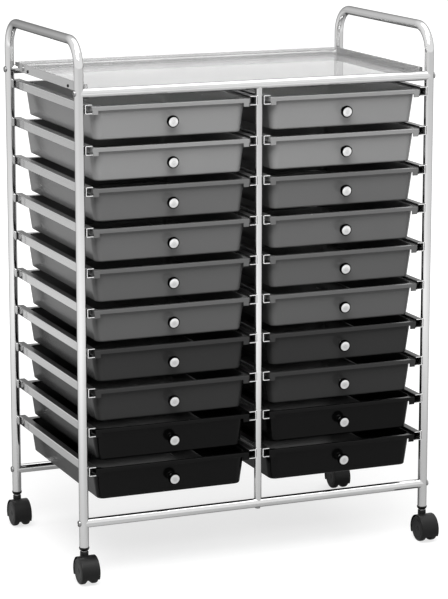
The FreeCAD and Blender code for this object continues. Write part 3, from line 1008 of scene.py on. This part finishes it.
@dataclass
class ClearTray:
    """The clear top tray: a flat floor, raised sides and back, and a low front lip."""

    finish: Finish = ClearPlastic()
    wall: float = 2.0 * MM
    floor: float = 2.0 * MM
    front_height: float = 6.5 * MM
    corner_radius: float = 8.0 * MM
    edge: float = 0.7 * MM
    foot: float = 1.5 * MM
    foot_edge: float = 0.5 * MM
    stops: tuple[float, ...] = (0.0025, 0.006, 0.5, 0.994, 0.9975)
    crease_degrees: float = 30.0

    def build(self) -> None:
        """Carries the wall's profile round the tray; the front straight is lower than the rest."""
        low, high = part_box("top_tray")
        height, wall, floor, edge, foot = high.z - low.z, self.wall, self.floor, self.edge, self.foot

        def ring(inset: float) -> np.ndarray:
            """Stations inset from the tray's outer side."""
            return outline(high.x - inset, low.y + inset, high.y - inset, self.corner_radius - inset,
                           self.stops)

        outer = ring(0)
        reach = high.x - self.corner_radius
        front = (outer[:, 1] < low.y + edge) & (np.abs(outer[:, 0]) < reach - edge)
        drop = np.where(front, height - self.front_height, 0.0)
        profile = [(foot, 0), (self.foot_edge, 0), (0, self.foot_edge), (0, foot), (0, height - 2 * edge)]
        profile += bend((0, height - edge), (0, height), (edge, height))
        profile += bend((wall - edge, height), (wall, height), (wall, height - edge))
        profile += [(wall, height - 2 * edge)]
        profile += bend((wall, floor + foot), (wall, floor), (wall + foot, floor))
        profile += [(wall + 2 * foot, floor)]
        rows = [pole(outer, low.z)]
        for inset, rise in profile:
            rows.append(level(ring(inset), low.z + rise - (drop if rise > floor + foot + edge else 0)))
        rows.append(pole(outer, low.z + floor))
        surface = Surface().add(np.stack(rows))
        surface.piece("clear_tray", self.finish, "frame", "clear_plastic", ["top_tray"],
                      self.crease_degrees)


@dataclass(frozen=True)
class Knob:
    """A turned knob on its neck, which is painted dark as shade, with the screw that holds it from inside the
    drawer.

    Heights are counted along the knob's axis from the front wall's outer face, and the screw's
    from the wall's inner face.
    """

    finish: Finish = TurnedMetal()
    # Painted shade: the neck and its base are dark steel where they sit in the knob's shade.
    shaded_neck_finish: Finish = PlatedSteel(tone=70.0)
    screw_finish: Finish = PlatedSteel()
    radius: float = 10.1 * MM
    length: float = 16.6 * MM
    base_radius: float = 5.0 * MM
    base_edge: float = 1.2 * MM
    base_height: float = 2.4 * MM
    neck_radius: float = 4.0 * MM
    overlap: float = 0.2 * MM
    head_start: float = 7.6 * MM
    flare_length: float = 3.0 * MM
    flare_bow: float = 0.6 * MM
    back_edge: float = 0.3 * MM
    back_rise: float = 0.4 * MM
    edge_depth: float = 2.2 * MM
    dome_height: float = 1.0 * MM
    dome_share: float = 0.95
    crown_share: float = 0.5
    screw_radius: float = 3.8 * MM
    screw_sunk: float = 0.3 * MM
    screw_edge: float = 1.2 * MM
    screw_height: float = 2.2 * MM
    recess_radius: float = 1.6 * MM
    slant: float = 0.2 * MM
    neck_steps: int = 36
    head_steps: int = 48
    screw_steps: int = 28

    def neck(self) -> list[tuple[float, float]]:
        """The neck's profile, from its base on the wall to its end in the head.

        Returns:
            Pairs of radius and height.
        """
        base, overlap, top = self.base_radius, self.overlap, self.head_start + self.overlap
        profile = [(0, -overlap), (base, -overlap)]
        profile += bend((base, self.base_edge), (base - overlap, self.base_height - 2 * overlap),
                        (self.neck_radius, self.base_height))
        return profile + [(self.neck_radius, top), (0, top)]

    def head(self) -> list[tuple[float, float]]:
        """The head's profile: flared behind, with a rounded edge and a low dome in front.

        Returns:
            Pairs of radius and height.
        """
        radius, neck, length, rise = self.radius, self.neck_radius, self.length, self.back_rise
        back = self.head_start + self.flare_length
        dome = (radius * self.dome_share, length - self.dome_height)
        profile = [(0, self.head_start)]
        profile += bend((neck, self.head_start), (neck + self.flare_bow, back - rise),
                        (radius - self.back_edge, back), 5)
        profile += bend((radius - self.back_edge, back), (radius, back), (radius, back + rise), 2)[1:]
        profile += bend((radius, length - self.edge_depth), (radius, dome[1] - self.overlap), dome, 5)
        return profile + bend(dome, (radius * self.crown_share, length), (0, length), 6)[1:]

    def screw(self) -> list[tuple[float, float]]:
        """The profile of the screw's head, with its recess.

        Returns:
            Pairs of radius and height.
        """
        radius, edge, slant = self.screw_radius, self.screw_edge, self.slant
        profile = [(0, -self.screw_sunk), (radius, -self.screw_sunk)]
        profile += bend((radius, edge), (radius - slant, self.screw_height - slant / 2),
                        (self.recess_radius, self.screw_height), 4)
        return profile + [(self.recess_radius - slant, edge), (0, edge - slant)]

    def build(self, label: str, body: str, foot: np.ndarray, axis: np.ndarray, wall: float) -> None:
        """Turns the neck, the head and the screw.

        Args:
            label: The drawer's side and row.
            body: The body that they ride on.
            foot: Where the axis leaves the front wall.
            axis: The outward direction.
            wall: The wall's thickness along the axis.
        """
        neck = Surface().add(lathe(self.neck(), foot, axis, self.neck_steps))
        neck.piece("knob_neck_" + label, self.shaded_neck_finish, body, "knob_metal")
        head = Surface().add(lathe(self.head(), foot, axis, self.head_steps))
        made = head.piece("turned_knob_" + label, self.finish, body, "knob_metal", ["knob_" + label])
        mark_radius(made, foot, axis)
        screw = Surface().add(lathe(self.screw(), foot - axis * wall, -axis, self.screw_steps))
        screw.piece("knob_screw_" + label, self.screw_finish, body, "knob_metal")


@dataclass
class Drawer:
    """One moulded tray drawer with its rim, corner tabs and knob.

    Heights are counted from the middle of the drawer's runners, depths from the front legs' axis.
    """

    side: str
    row: int
    knob: Knob = Knob()
    wall: float = 2.0 * MM
    floor: float = 2.0 * MM
    draft_inset: float = 8.0 * MM
    corner_radius: float = 20.0 * MM
    corner_stop: float = 0.4 * MM
    foot_radius: float = 3.5 * MM
    foot_steps: int = 6
    row_margin: float = 1.0 * MM
    floor_margin: float = 1.5 * MM
    rim_top: float = 3.2 * MM
    rim_sheet: float = 2.2 * MM
    rim_lip: float = 2.0 * MM
    rim_seam: float = 0.5 * MM
    lip_edge: float = 0.3 * MM
    under_edge: float = 0.8 * MM
    under_drop: float = 2.0 * MM
    rim_band: float = 6.6 * MM
    rim_corner: float = 8.6 * MM
    notch_depth: float = 9.0 * MM
    notch_width: float = 7.0 * MM
    notch_slope: float = 2.0 * MM
    notch_fade: float = 30.0 * MM
    overhang: float = 9.4 * MM
    rim_lead: float = 6.0 * MM
    wall_lead: float = 1.0 * MM
    lip_drop: float = 6.25 * MM
    tab_width: float = 9.6 * MM
    tab_drop: float = 6.4 * MM
    edge: float = 0.7 * MM
    step: float = 0.15 * MM
    knob_drop: float = 25.2 * MM
    crease_degrees: float = 32.0

    def __post_init__(self) -> None:
        """Reads the drawer's place from the frame."""
        self.label = f"{self.side}_{self.row:02d}"
        self.body = "drawer_" + self.label
        low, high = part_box(self.body)
        self.centre_x = (low.x + high.x) / 2
        self.rim_half = (high.x - low.x) / 2
        self.mid = high.z - self.rim_top
        self.bottom = low.z - self.mid
        self.start_y = low.y + self.rim_lead
        self.rim_back = high.y - self.start_y
        self.body_half = self.rim_half - self.overhang
        self.body_back = self.rim_back - self.overhang
        self.slope = self.draft_inset / (self.rim_top - self.bottom)
        pair = (self.row - 1) // 2
        self.finish = MouldedGloss(ROW_GREYS[pair])
        self.slot = ROW_SLOTS[pair]
        straight = self.rim_half - self.rim_corner
        near, far = self.body_half, self.body_half - self.tab_width
        places = (straight - self.corner_stop, near + self.step, near, far, far - self.step)
        shares = [(straight - x) / (2 * straight) for x in places]
        self.stops = tuple(shares + [0.5] + [1 - share for share in reversed(shares)])

    def tub(self, z: float, grow: float = 0.0) -> np.ndarray:
        """The drafted tub's ring at a height, moved outwards by grow.

        Args:
            z: The ring's height.
            grow: How far it is moved outwards.

        Returns:
            The ring's points.
        """
        inset = (self.rim_top - z) * self.slope - grow
        return level(outline(self.body_half - inset, inset - self.wall_lead, self.body_back - inset,
                             self.corner_radius - inset, self.stops), z)

    def rim(self, inset: float, z: float | np.ndarray) -> np.ndarray:
        """The rim's ring, set back at its front corners so that they clear the channels' ends.

        The step grows across the notch's slope and fades out along the side.

        Args:
            inset: How far the ring lies inside the rim's outer side.
            z: Its height, one for all stations or one for each.

        Returns:
            The ring's points.
        """
        ring = outline(self.rim_half - inset, inset - self.rim_lead, self.rim_back - inset,
                       self.rim_corner - inset, self.stops)
        across = np.abs(ring[:, 0]) + inset - self.rim_half + self.notch_width + self.notch_slope / 2
        fade = 1 - (ring[:, 1] + self.rim_lead) / self.notch_fade
        ring[:, 1] += self.notch_depth * np.clip(across / self.notch_slope, 0, 1) * np.clip(fade, 0, 1)
        return level(ring, z)

    def foot(self, bottom: float, radius: float, grow: float) -> list[np.ndarray]:
        """Rings from the wall round the foot to the flat floor.

        A ring sinks by radius while it closes in by radius, along a quarter circle.

        Args:
            bottom: The floor's height.
            radius: The rounding's radius.
            grow: How far the wall is moved outwards.

        Returns:
            The rings, the first on the wall and the last on the floor.
        """
        start = bottom + radius
        rings = [self.tub(start + self.row_margin, grow)]
        for turn in np.linspace(0, math.pi / 2, self.foot_steps + 1):
            ring = self.tub(start, grow - radius * (1 - math.cos(turn)))
            ring[:, 2] = start - radius * math.sin(turn)
            rings.append(ring)
        rings.append(self.tub(start, grow - radius - self.floor_margin))
        rings[-1][:, 2] = bottom
        return rings

    def skirt(self) -> np.ndarray:
        """How low the rim's lip reaches at each station: a band, deeper sides, and the tabs.

        Returns:
            The height of the lip's lower edge at each station of the rim.
        """
        ring = self.rim(0, 0)
        across, y = np.abs(ring[:, 0]), ring[:, 1]
        near, far = self.body_half + self.step / 2, self.body_half - self.tab_width - self.step / 2
        tab = (y < self.step - self.rim_lead) & (across < near) & (across > far)
        side = across > self.rim_half - self.rim_lip
        band = self.rim_top - self.rim_band
        return np.select([tab, side], [band - self.tab_drop, -self.lip_drop], band)

    def shell(self) -> np.ndarray:
        """The drawer's whole skin: inside floor and wall, rim, lip, outside wall and floor.

        Returns:
            The closed grid.
        """
        top, edge, lip, wall = self.rim_top, self.edge, self.rim_lip, self.wall
        skirt, under = self.skirt(), top - self.rim_sheet
        floor = self.bottom + self.floor
        middle = self.tub(top)[:, :2]
        rows = [pole(middle, floor)] + self.foot(floor, self.foot_radius - self.floor, -wall)[::-1]
        rows += [self.tub(top - edge - self.row_margin, -wall)]
        for inward, drop in bend((0, edge), (0, 0), (edge, 0)):
            rows.append(self.tub(top, inward - wall - drop * self.slope))
            rows[-1][:, 2] = top - drop
        rows += [self.tub(top, edge - wall + self.rim_seam), self.rim(edge + self.rim_seam, top)]
        for inset, drop in bend((edge, 0), (0, 0), (0, edge)):
            rows.append(self.rim(inset, top - drop))
        rows += [self.rim(0, top - edge - self.lip_edge), self.rim(0, skirt + edge),
                 self.rim(0, skirt + edge / 2), self.rim(edge / 2, skirt), self.rim(lip - edge / 2, skirt),
                 self.rim(lip, skirt + edge / 2), self.rim(lip, np.full(len(skirt), under))]
        for grow, drop in bend((self.under_edge, 0), (0, 0), (0, self.under_edge)):
            rows.append(self.tub(under - drop, grow))
        rows += [self.tub(under - self.under_drop)] + self.foot(self.bottom, self.foot_radius, 0)
        rows.append(pole(middle, self.bottom))
        return np.stack(rows)

    def knob_axis(self) -> tuple[np.ndarray, np.ndarray]:
        """The knob's foot on the front wall and its outward direction.

        Returns:
            The foot's place and the direction, of length 1.
        """
        lean = math.atan(self.slope)
        y = (self.rim_top + self.knob_drop) * self.slope - self.wall_lead
        foot = np.array([self.centre_x, self.start_y + y, self.mid - self.knob_drop])
        return foot, np.array([0, -math.cos(lean), -math.sin(lean)])

    def build(self) -> None:
        """Makes the drawer and its knob."""
        place = np.array([self.centre_x, self.start_y, self.mid])
        surface = Surface().add(self.shell() + place)
        surface.piece("moulded_" + self.body, self.finish, self.body, self.slot, [self.body],
                      self.crease_degrees)
        foot, axis = self.knob_axis()
        self.knob.build(self.label, self.body, foot, axis, self.wall * math.cos(math.atan(self.slope)))


@dataclass(frozen=True)
class CasterWheel:
    """One wheel: a rounded tread, a flat outer disc inside a fine groove, and a low cap on the axle.

    Heights are counted along the axle from the caster's middle. The tables give pairs of radius and
    depth below the outer face, in millimetres, from the groove inwards.
    """

    finish: Finish = WheelPlastic()
    radius: float = 23.0 * MM
    waist_radius: float = 14.5 * MM
    waist_bow: float = 5.4 * MM
    face_radius: float = 18.0 * MM
    shoulder: float = 3.9 * MM
    groove: tuple[tuple[float, float], ...] = ((17.0, 0), (16.7, 0.6), (16.2, 0.6))
    disc_edge: tuple[tuple[float, float], ...] = ((15.9, 0.2), (15.4, 0), (14.0, 0))
    dish: tuple[tuple[float, float], ...] = ((6.0, 0.5), (5.2, 0.5))
    cap_edge: tuple[tuple[float, float], ...] = ((5.0, 0.3), (4.6, 0), (3.6, 0))
    dimple: tuple[tuple[float, float], ...] = ((1.6, 0), (1.3, 0.3), (0, 0.3))
    steps: int = 64
    crease_degrees: float = 30.0

    def profile(self, inner: float, outer: float) -> list[tuple[float, float]]:
        """The wheel's profile between its inner and its outer face.

        Args:
            inner: The inner face's height.
            outer: The outer face's height.

        Returns:
            Pairs of radius and height.
        """
        def sunk(table: Sequence[Sequence[float]]) -> list[tuple[float, float]]:
            """A table's pairs as radius and height."""
            return [(radius * MM, outer - depth * MM) for radius, depth in table]

        radius, waist = self.radius, (self.waist_radius, inner)
        profile = [(0, inner)] + bend(waist, (radius, inner), (radius, inner + self.waist_bow), 7)
        profile += bend((radius, outer - self.shoulder), (radius, outer), (self.face_radius, outer), 7)
        profile += sunk(self.groove) + bend(*sunk(self.disc_edge), 3) + sunk(self.dish)
        return profile + bend(*sunk(self.cap_edge), 4) + sunk(self.dimple)

    def build(self, name: str, centre: Sequence[float], sign: int, inner: float, outer: float) -> None:
        """Turns the wheel.

        Args:
            name: Its node, which is also its body.
            centre: Where the caster's middle plane crosses the axle.
            sign: 1 for a wheel that faces +X, -1 for the other.
            inner: How far its inner face lies from the middle.
            outer: How far its outer face lies from the middle.
        """
        wheel = Surface().add(lathe(self.profile(inner, outer), centre, (sign, 0, 0), self.steps))
        made = wheel.piece("moulded_" + name, self.finish, name, "wheel_plastic", [name],
                           self.crease_degrees)
        mark_radius(made, centre, (1, 0, 0))


@dataclass
class Caster:
    """One caster: hood, web, neck and stem on the swivel, and a wheel each side."""

    end: str
    side: str
    finish: Finish = CasterPlastic()
    stem_finish: Finish = PlatedSteel(tone=215.0)
    wheel: CasterWheel = CasterWheel()
    hood_radius: float = 25.0 * MM
    hood_sheet: float = 1.2 * MM
    hood_inner_edge: float = 0.3 * MM
    hood_outer_edge: float = 0.8 * MM
    hood_rows: int = 61
    reach_degrees: float = 28.0
    web_half: float = 3.0 * MM
    web_edge: float = 0.4 * MM
    web_steps: tuple[int, int] = (37, 19)
    boss_radius: float = 7.0 * MM
    neck_radius: float = 7.2 * MM
    neck_rise: float = 5.0 * MM
    neck_foot: float = 18.0 * MM
    neck_edge: float = 1.0 * MM
    neck_steps: int = 40
    stem_radius: float = 3.95 * MM
    stem_overlap: float = 0.2 * MM
    flange_radius: float = 5.2 * MM
    flange_height: float = 1.2 * MM
    flange_edge: float = 0.3 * MM
    stem_steps: int = 32
    trail: float = 12.0 * MM
    wheel_gap: float = 0.3 * MM
    wheel_inset: float = 0.5 * MM

    def __post_init__(self) -> None:
        """Reads the caster's place from the frame."""
        self.label = self.end + "_" + self.side
        low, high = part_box("caster_" + self.label)
        self.half = (high.x - low.x) / 2
        self.x = (low.x + high.x) / 2
        self.wheel_y = low.y + self.hood_radius
        self.stem_y = self.wheel_y + self.trail
        self.axle_z = self.wheel.radius
        self.top = high.z
        self.neck_top = self.axle_z + self.hood_radius + self.neck_rise

    def place(self, x: np.ndarray | float, radius: np.ndarray | float,
              angle: np.ndarray | float) -> np.ndarray:
        """Points at a distance and an angle round the axle, counted from the front over the top.

        Args:
            x: The distance from the caster's middle plane.
            radius: The distance from the axle.
            angle: The angle, in radians.

        Returns:
            The points.
        """
        parts = (self.x + x, self.wheel_y - radius * np.cos(angle), self.axle_z + radius * np.sin(angle))
        return np.stack(np.broadcast_arrays(*parts), axis=-1)

    def hood(self) -> np.ndarray:
        """The hood: a thin strip with rounded edges carried round the axle over the wheels.

        Its angle runs from below the front, over the top, to as far below behind. Each end closes
        on a line along the middle of the strip.

        Returns:
            The closed grid.
        """
        outer, half, small, large = self.hood_radius, self.half, self.hood_inner_edge, self.hood_outer_edge
        inner = outer - self.hood_sheet
        strip = bend((inner, half - small), (inner, half), (inner + small, half), 2)
        strip += bend((outer - large, half), (outer, half), (outer, half - large), 5)
        section = np.array(strip + [(outer, half - 2 * large)])
        section = np.concatenate([section, (section * (1, -1))[::-1]])
        reach = self.reach_degrees
        angles = np.radians(np.linspace(-reach, 180 + reach, self.hood_rows))[:, None]
        rows = self.place(section[None, :, 1], section[None, :, 0], angles)
        ends = [self.place(np.sign(section[:, 1]) * (half - small), (outer + inner) / 2, angle)[None]
                for angle in (angles[0], angles[-1])]
        return np.concatenate([ends[0], rows, ends[1]])

    def web(self) -> np.ndarray:
        """The plate between the wheels: a half disc under the hood with a round boss below.

        Each row has its own x, share of the plate's radius and inset, so that the edges are cut off.

        Returns:
            The closed grid.
        """
        over, below = self.web_steps
        angle = np.concatenate([np.linspace(0, math.pi, over), np.linspace(math.pi, 2 * math.pi, below)])
        radius = np.repeat([self.hood_radius - self.hood_sheet / 2, self.boss_radius], [over, below])
        half, edge = self.web_half, self.web_edge
        rows = ((-half, 0, 0), (-half, 1, edge), (edge - half, 1, 0),
                (half - edge, 1, 0), (half, 1, edge), (half, 0, 0))
        return np.stack([self.place(x, radius * share - inset, angle) for x, share, inset in rows])

    def neck(self) -> np.ndarray:
        """The neck that rises from the hood and is rounded at its top.

        Returns:
            The closed grid.
        """
        foot, top = self.axle_z + self.neck_foot, self.neck_top
        radius, edge = self.neck_radius, self.neck_edge
        profile = [(0, foot), (radius, foot)]
        profile += bend((radius, top - edge), (radius, top), (radius - edge, top)) + [(0, top)]
        return lathe(profile, (self.x, self.stem_y, 0), (0, 0, 1), self.neck_steps)

    def stem(self) -> np.ndarray:
        """The steel stem with its flange on the neck.

        Returns:
            The closed grid.
        """
        flange, edge, radius = self.flange_radius, self.flange_edge, self.stem_radius
        low, high = self.neck_top - self.stem_overlap, self.neck_top + self.flange_height
        profile = [(0, low), (flange, low), (flange, high - edge), (flange - edge, high),
                   (radius, high), (radius, self.top), (0, self.top)]
        return lathe(profile, (self.x, self.stem_y, 0), (0, 0, 1), self.stem_steps)

    def build(self) -> None:
        """Makes the caster's body, its steel and its wheels."""
        node = "caster_" + self.label
        body = Surface().add(self.hood()).add(self.web()).add(self.neck())
        body.piece("caster_hood_" + self.label, self.finish, node, "caster_plastic", [node])
        steel = Surface().add(self.stem())
        steel.piece("caster_stem_" + self.label, self.stem_finish, node, "screw_steel")
        outward = -1 if self.side == "left" else 1
        centre = (self.x, self.wheel_y, self.axle_z)
        for place, sign in (("outer", outward), ("inner", -outward)):
            self.wheel.build(f"wheel_{self.label}_{place}", centre, sign, self.web_half + self.wheel_gap,
                             self.half - self.wheel_inset)


@dataclass
class Sockets:
    """The bowl-shaped collars at the feet of the legs."""

    tubes: TubeFrame
    finish: Finish = CasterPlastic(tone=14.0, roughness=0.28)
    radius: float = 8.9 * MM
    foot_radius: float = 5.6 * MM
    bore_radius: float = 4.1 * MM
    bore_height: float = 3.0 * MM
    height: float = 6.0 * MM
    edge: float = 1.2 * MM
    top_edge: float = 0.3 * MM
    bowl: tuple[float, float] = (0.6 * MM, 0.8 * MM)
    steps: int = 40

    def build(self) -> None:
        """Makes the four collars as one piece."""
        top = self.tubes.foot
        low = top - self.height
        inset, rise = self.bowl
        shelf = low + self.bore_height
        profile = [(self.bore_radius, shelf), (self.bore_radius, low)]
        profile += bend((self.foot_radius, low), (self.radius - inset, low + rise),
                        (self.radius, top - self.edge), 7)
        profile += [(self.radius, top - self.top_edge), (self.radius - self.top_edge, top), (0, top),
                    (0, shelf)]
        surface = Surface()
        for _, sign in SIDES:
            for y in (self.tubes.front, self.tubes.rear):
                centre = (sign * self.tubes.leg_x, y, 0)
                surface.add(lathe(profile, centre, (0, 0, 1), self.steps), close_rows=True)
        surface.piece("leg_collars", self.finish, "frame", "caster_plastic", ["caster_sockets"])


@dataclass(frozen=True)
class Softbox:
    """A square lamp that faces the cart's middle."""

    name: str
    place: tuple[float, float, float]
    size: float
    watts: float
    aim: tuple[float, float, float] = (0, 0, 0.45)

    def hang(self) -> None:
        """Makes the lamp."""
        data = bpy.data.lights.new(self.name, "AREA")
        data.shape = "SQUARE"
        data.size = self.size
        data.energy = self.watts
        made = put_in_scene(self.name, data)
        made.location = self.place
        made.rotation_euler = (Vector(self.aim) - Vector(self.place)).to_track_quat("-Z", "Y").to_euler()


@dataclass
class Studio:
    """Pale floor, white background, soft light and the camera of the photograph.

    A band gives the two values between which a smooth step rises.
    """

    camera_place: tuple[float, float, float] = (-1.678, -4.056, 1.355)
    yaw_degrees: float = 22.57
    pitch_degrees: float = 11.92
    focal_pixels: float = 2538.0
    frame_height_pixels: float = 599.0
    sensor: float = 36.0
    clip_end: float = 100.0
    floor_half: float = 30.0
    floor_drop: float = 0.3 * MM
    floor_grey: float = 165.0
    floor_roughness: float = 0.9
    floor_white: float = 0.72
    floor_sheen: float = 0.14
    far_sheen: float = 0.45
    white_band: tuple[float, float] = (0.7, 2.2)
    # Painted reflection: the floor's glow for glossy rays is brighter towards this side.
    painted_glint_side: tuple[float, float, float] = (-0.98, -0.2, 0.0)
    painted_glint_band: tuple[float, float] = (0.3, 1.0)
    painted_glint_strength: float = 0.1
    # Painted shade: the floor's glow for glossy rays is darker towards this side.
    behind_side: tuple[float, float, float] = (0.391, 0.92, 0.0)
    behind_band: tuple[float, float] = (0.8, 0.98)
    behind_depth: float = 0.92
    # Painted shade: glossy rays see the world darker towards this side, low down.
    dark_reflection_side: tuple[float, float, float] = (-0.38, 0.925, 0.0)
    dark_reflection_band: tuple[float, float] = (0.6, 0.95)
    dark_reflection_height_band: tuple[float, float] = (0.25, 0.6)
    dark_reflection_depth: float = 0.12
    sky: float = 0.4
    ray_band: tuple[float, float] = (0.0, 0.5)
    lamps: tuple[Softbox, ...] = (Softbox("key", (-0.9, -1.9, 3.2), 2.4, 135.0),
                                  Softbox("top", (0.6, 0.0, 3.5), 3.0, 42.0))

    def camera(self) -> None:
        """Sets the camera at the photograph's viewing angle."""
        data = bpy.data.cameras.new("photo_camera")
        data.sensor_fit = "AUTO"
        data.sensor_width = self.sensor
        data.lens = self.focal_pixels / self.frame_height_pixels * self.sensor
        data.clip_end = self.clip_end
        made = put_in_scene("photo_camera", data)
        yaw, pitch = math.radians(self.yaw_degrees), math.radians(self.pitch_degrees)
        ahead = math.cos(pitch)
        forward = Vector((math.sin(yaw) * ahead, math.cos(yaw) * ahead, -math.sin(pitch)))
        made.location = self.camera_place
        made.rotation_euler = forward.to_track_quat("-Z", "Y").to_euler()
        bpy.context.scene.camera = made

    def rays(self, graph: Graph) -> tuple[Socket, Socket]:
        """Tells the rays that show the background apart.

        Args:
            graph: The material's or the world's nodes.

        Returns:
            1 for camera and transmission rays, and 1 for glossy rays.
        """
        path = graph.node("ShaderNodeLightPath")
        straight, glossy, through = (Socket(graph, path.outputs[name]) for name in
                                     ("Is Camera Ray", "Is Glossy Ray", "Is Transmission Ray"))
        return (straight + through).over(*self.ray_band), glossy

    def bearings(self, graph: Graph, *sides: Sequence[float]) -> list[Socket]:
        """Where a point of the surroundings lies: u . side, with u its unit direction from the origin.

        Args:
            graph: The floor's or the world's nodes.
            sides: Directions of length 1.

        Returns:
            The distance from the origin, and the cosine towards each side.
        """
        place = graph.place()
        far = graph.out("ShaderNodeVectorMath", "Value", {"operation": "LENGTH"}, {0: place})
        return [far] + [graph.dot(place, side) / far for side in sides]

    def floor(self) -> None:
        """A wide pale floor that reads white and keeps the cart's shadow; for glossy rays it glows as painted
        reflection.
        """
        half, low = self.floor_half, -self.floor_drop
        square = [(-half, -half, low), (half, -half, low), (half, half, low), (-half, half, low)]
        mesh = bpy.data.meshes.new("studio_floor")
        mesh.from_pydata(square, [], [(0, 1, 2, 3)])
        made = put_in_scene("studio_floor", mesh)
        paint = bpy.data.materials.new("floor_white")
        paint.use_nodes = True
        graph = Graph(paint.node_tree)
        shader = graph.node("ShaderNodeBsdfPrincipled", None, {
            "Base Color": grey(self.floor_grey), "Roughness": self.floor_roughness,
            "Specular IOR Level": 0.0})
        seen, glossy = self.rays(graph)
        far, glint_bearing, behind = self.bearings(graph, self.painted_glint_side, self.behind_side)
        fade = far.over(*self.white_band)
        strength = seen * (self.floor_white + fade * (1 - self.floor_white))
        # Painted reflection: for glossy rays the floor glows dim near the cart and brighter far out, with a
        # painted glint towards the rear-left.
        sheen = self.floor_sheen + fade * self.far_sheen + glint_bearing.over(*self.painted_glint_band) * self.painted_glint_strength
        # Painted shade: its glow for glossy rays is darker behind the cart.
        shade = behind.over(*self.behind_band) * fade * self.behind_depth
        strength = strength + glossy * sheen * (1 - shade)
        glow = graph.node("ShaderNodeEmission", None, {"Color": (1, 1, 1, 1), "Strength": strength})
        both = graph.node("ShaderNodeAddShader", None, {0: shader.outputs[0], 1: glow.outputs[0]})
        graph.node("ShaderNodeOutputMaterial", None, {"Surface": both.outputs[0]})
        mesh.materials.append(paint)

    def world(self) -> None:
        """White background with softer light from all round, and a painted darker reflection low behind the
        cart for glossy rays.
        """
        world = bpy.data.worlds.new("studio")
        world.use_nodes = True
        bpy.context.scene.world = world
        graph = Graph(world.node_tree)
        seen, glossy = self.rays(graph)
        _, dark_reflection_bearing, up = self.bearings(graph, self.dark_reflection_side, (0, 0, 1))
        # Painted shade: glossy rays see the world darker low behind the cart, as a dark reflection.
        dim = dark_reflection_bearing.over(*self.dark_reflection_band) * (1 - up.over(*self.dark_reflection_height_band)) * self.dark_reflection_depth
        strength = self.sky + seen * (1 - self.sky) + glossy * (1 - self.sky - dim)
        sky = graph.node("ShaderNodeBackground", None, {"Color": (1, 1, 1, 1), "Strength": strength})
        graph.node("ShaderNodeOutputWorld", None, {"Surface": sky.outputs[0]})

    def build(self) -> None:
        """Sets camera, floor, world and lamps."""
        self.camera()
        self.floor()
        self.world()
        for lamp in self.lamps:
            lamp.hang()
        bpy.context.scene.view_settings.view_transform = "Standard"


def main() -> None:
    """Builds the studio and every sub-assembly in order."""
    logging.basicConfig(level=logging.INFO, format="%(name)s %(message)s")
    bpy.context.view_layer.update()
    Studio().build()
    tubes = TubeFrame()
    tubes.build()
    Fasteners(tubes).build()
    Runners().build()
    ClearTray().build()
    rows = sum(name.startswith("drawer_left_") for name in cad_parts)
    for side, _ in SIDES:
        for row in range(1, rows + 1):
            Drawer(side, row).build()
    Sockets(tubes).build()
    for end in ENDS:
        for side, _ in SIDES:
            Caster(end, side).build()


if __name__ == "__main__":
    main()
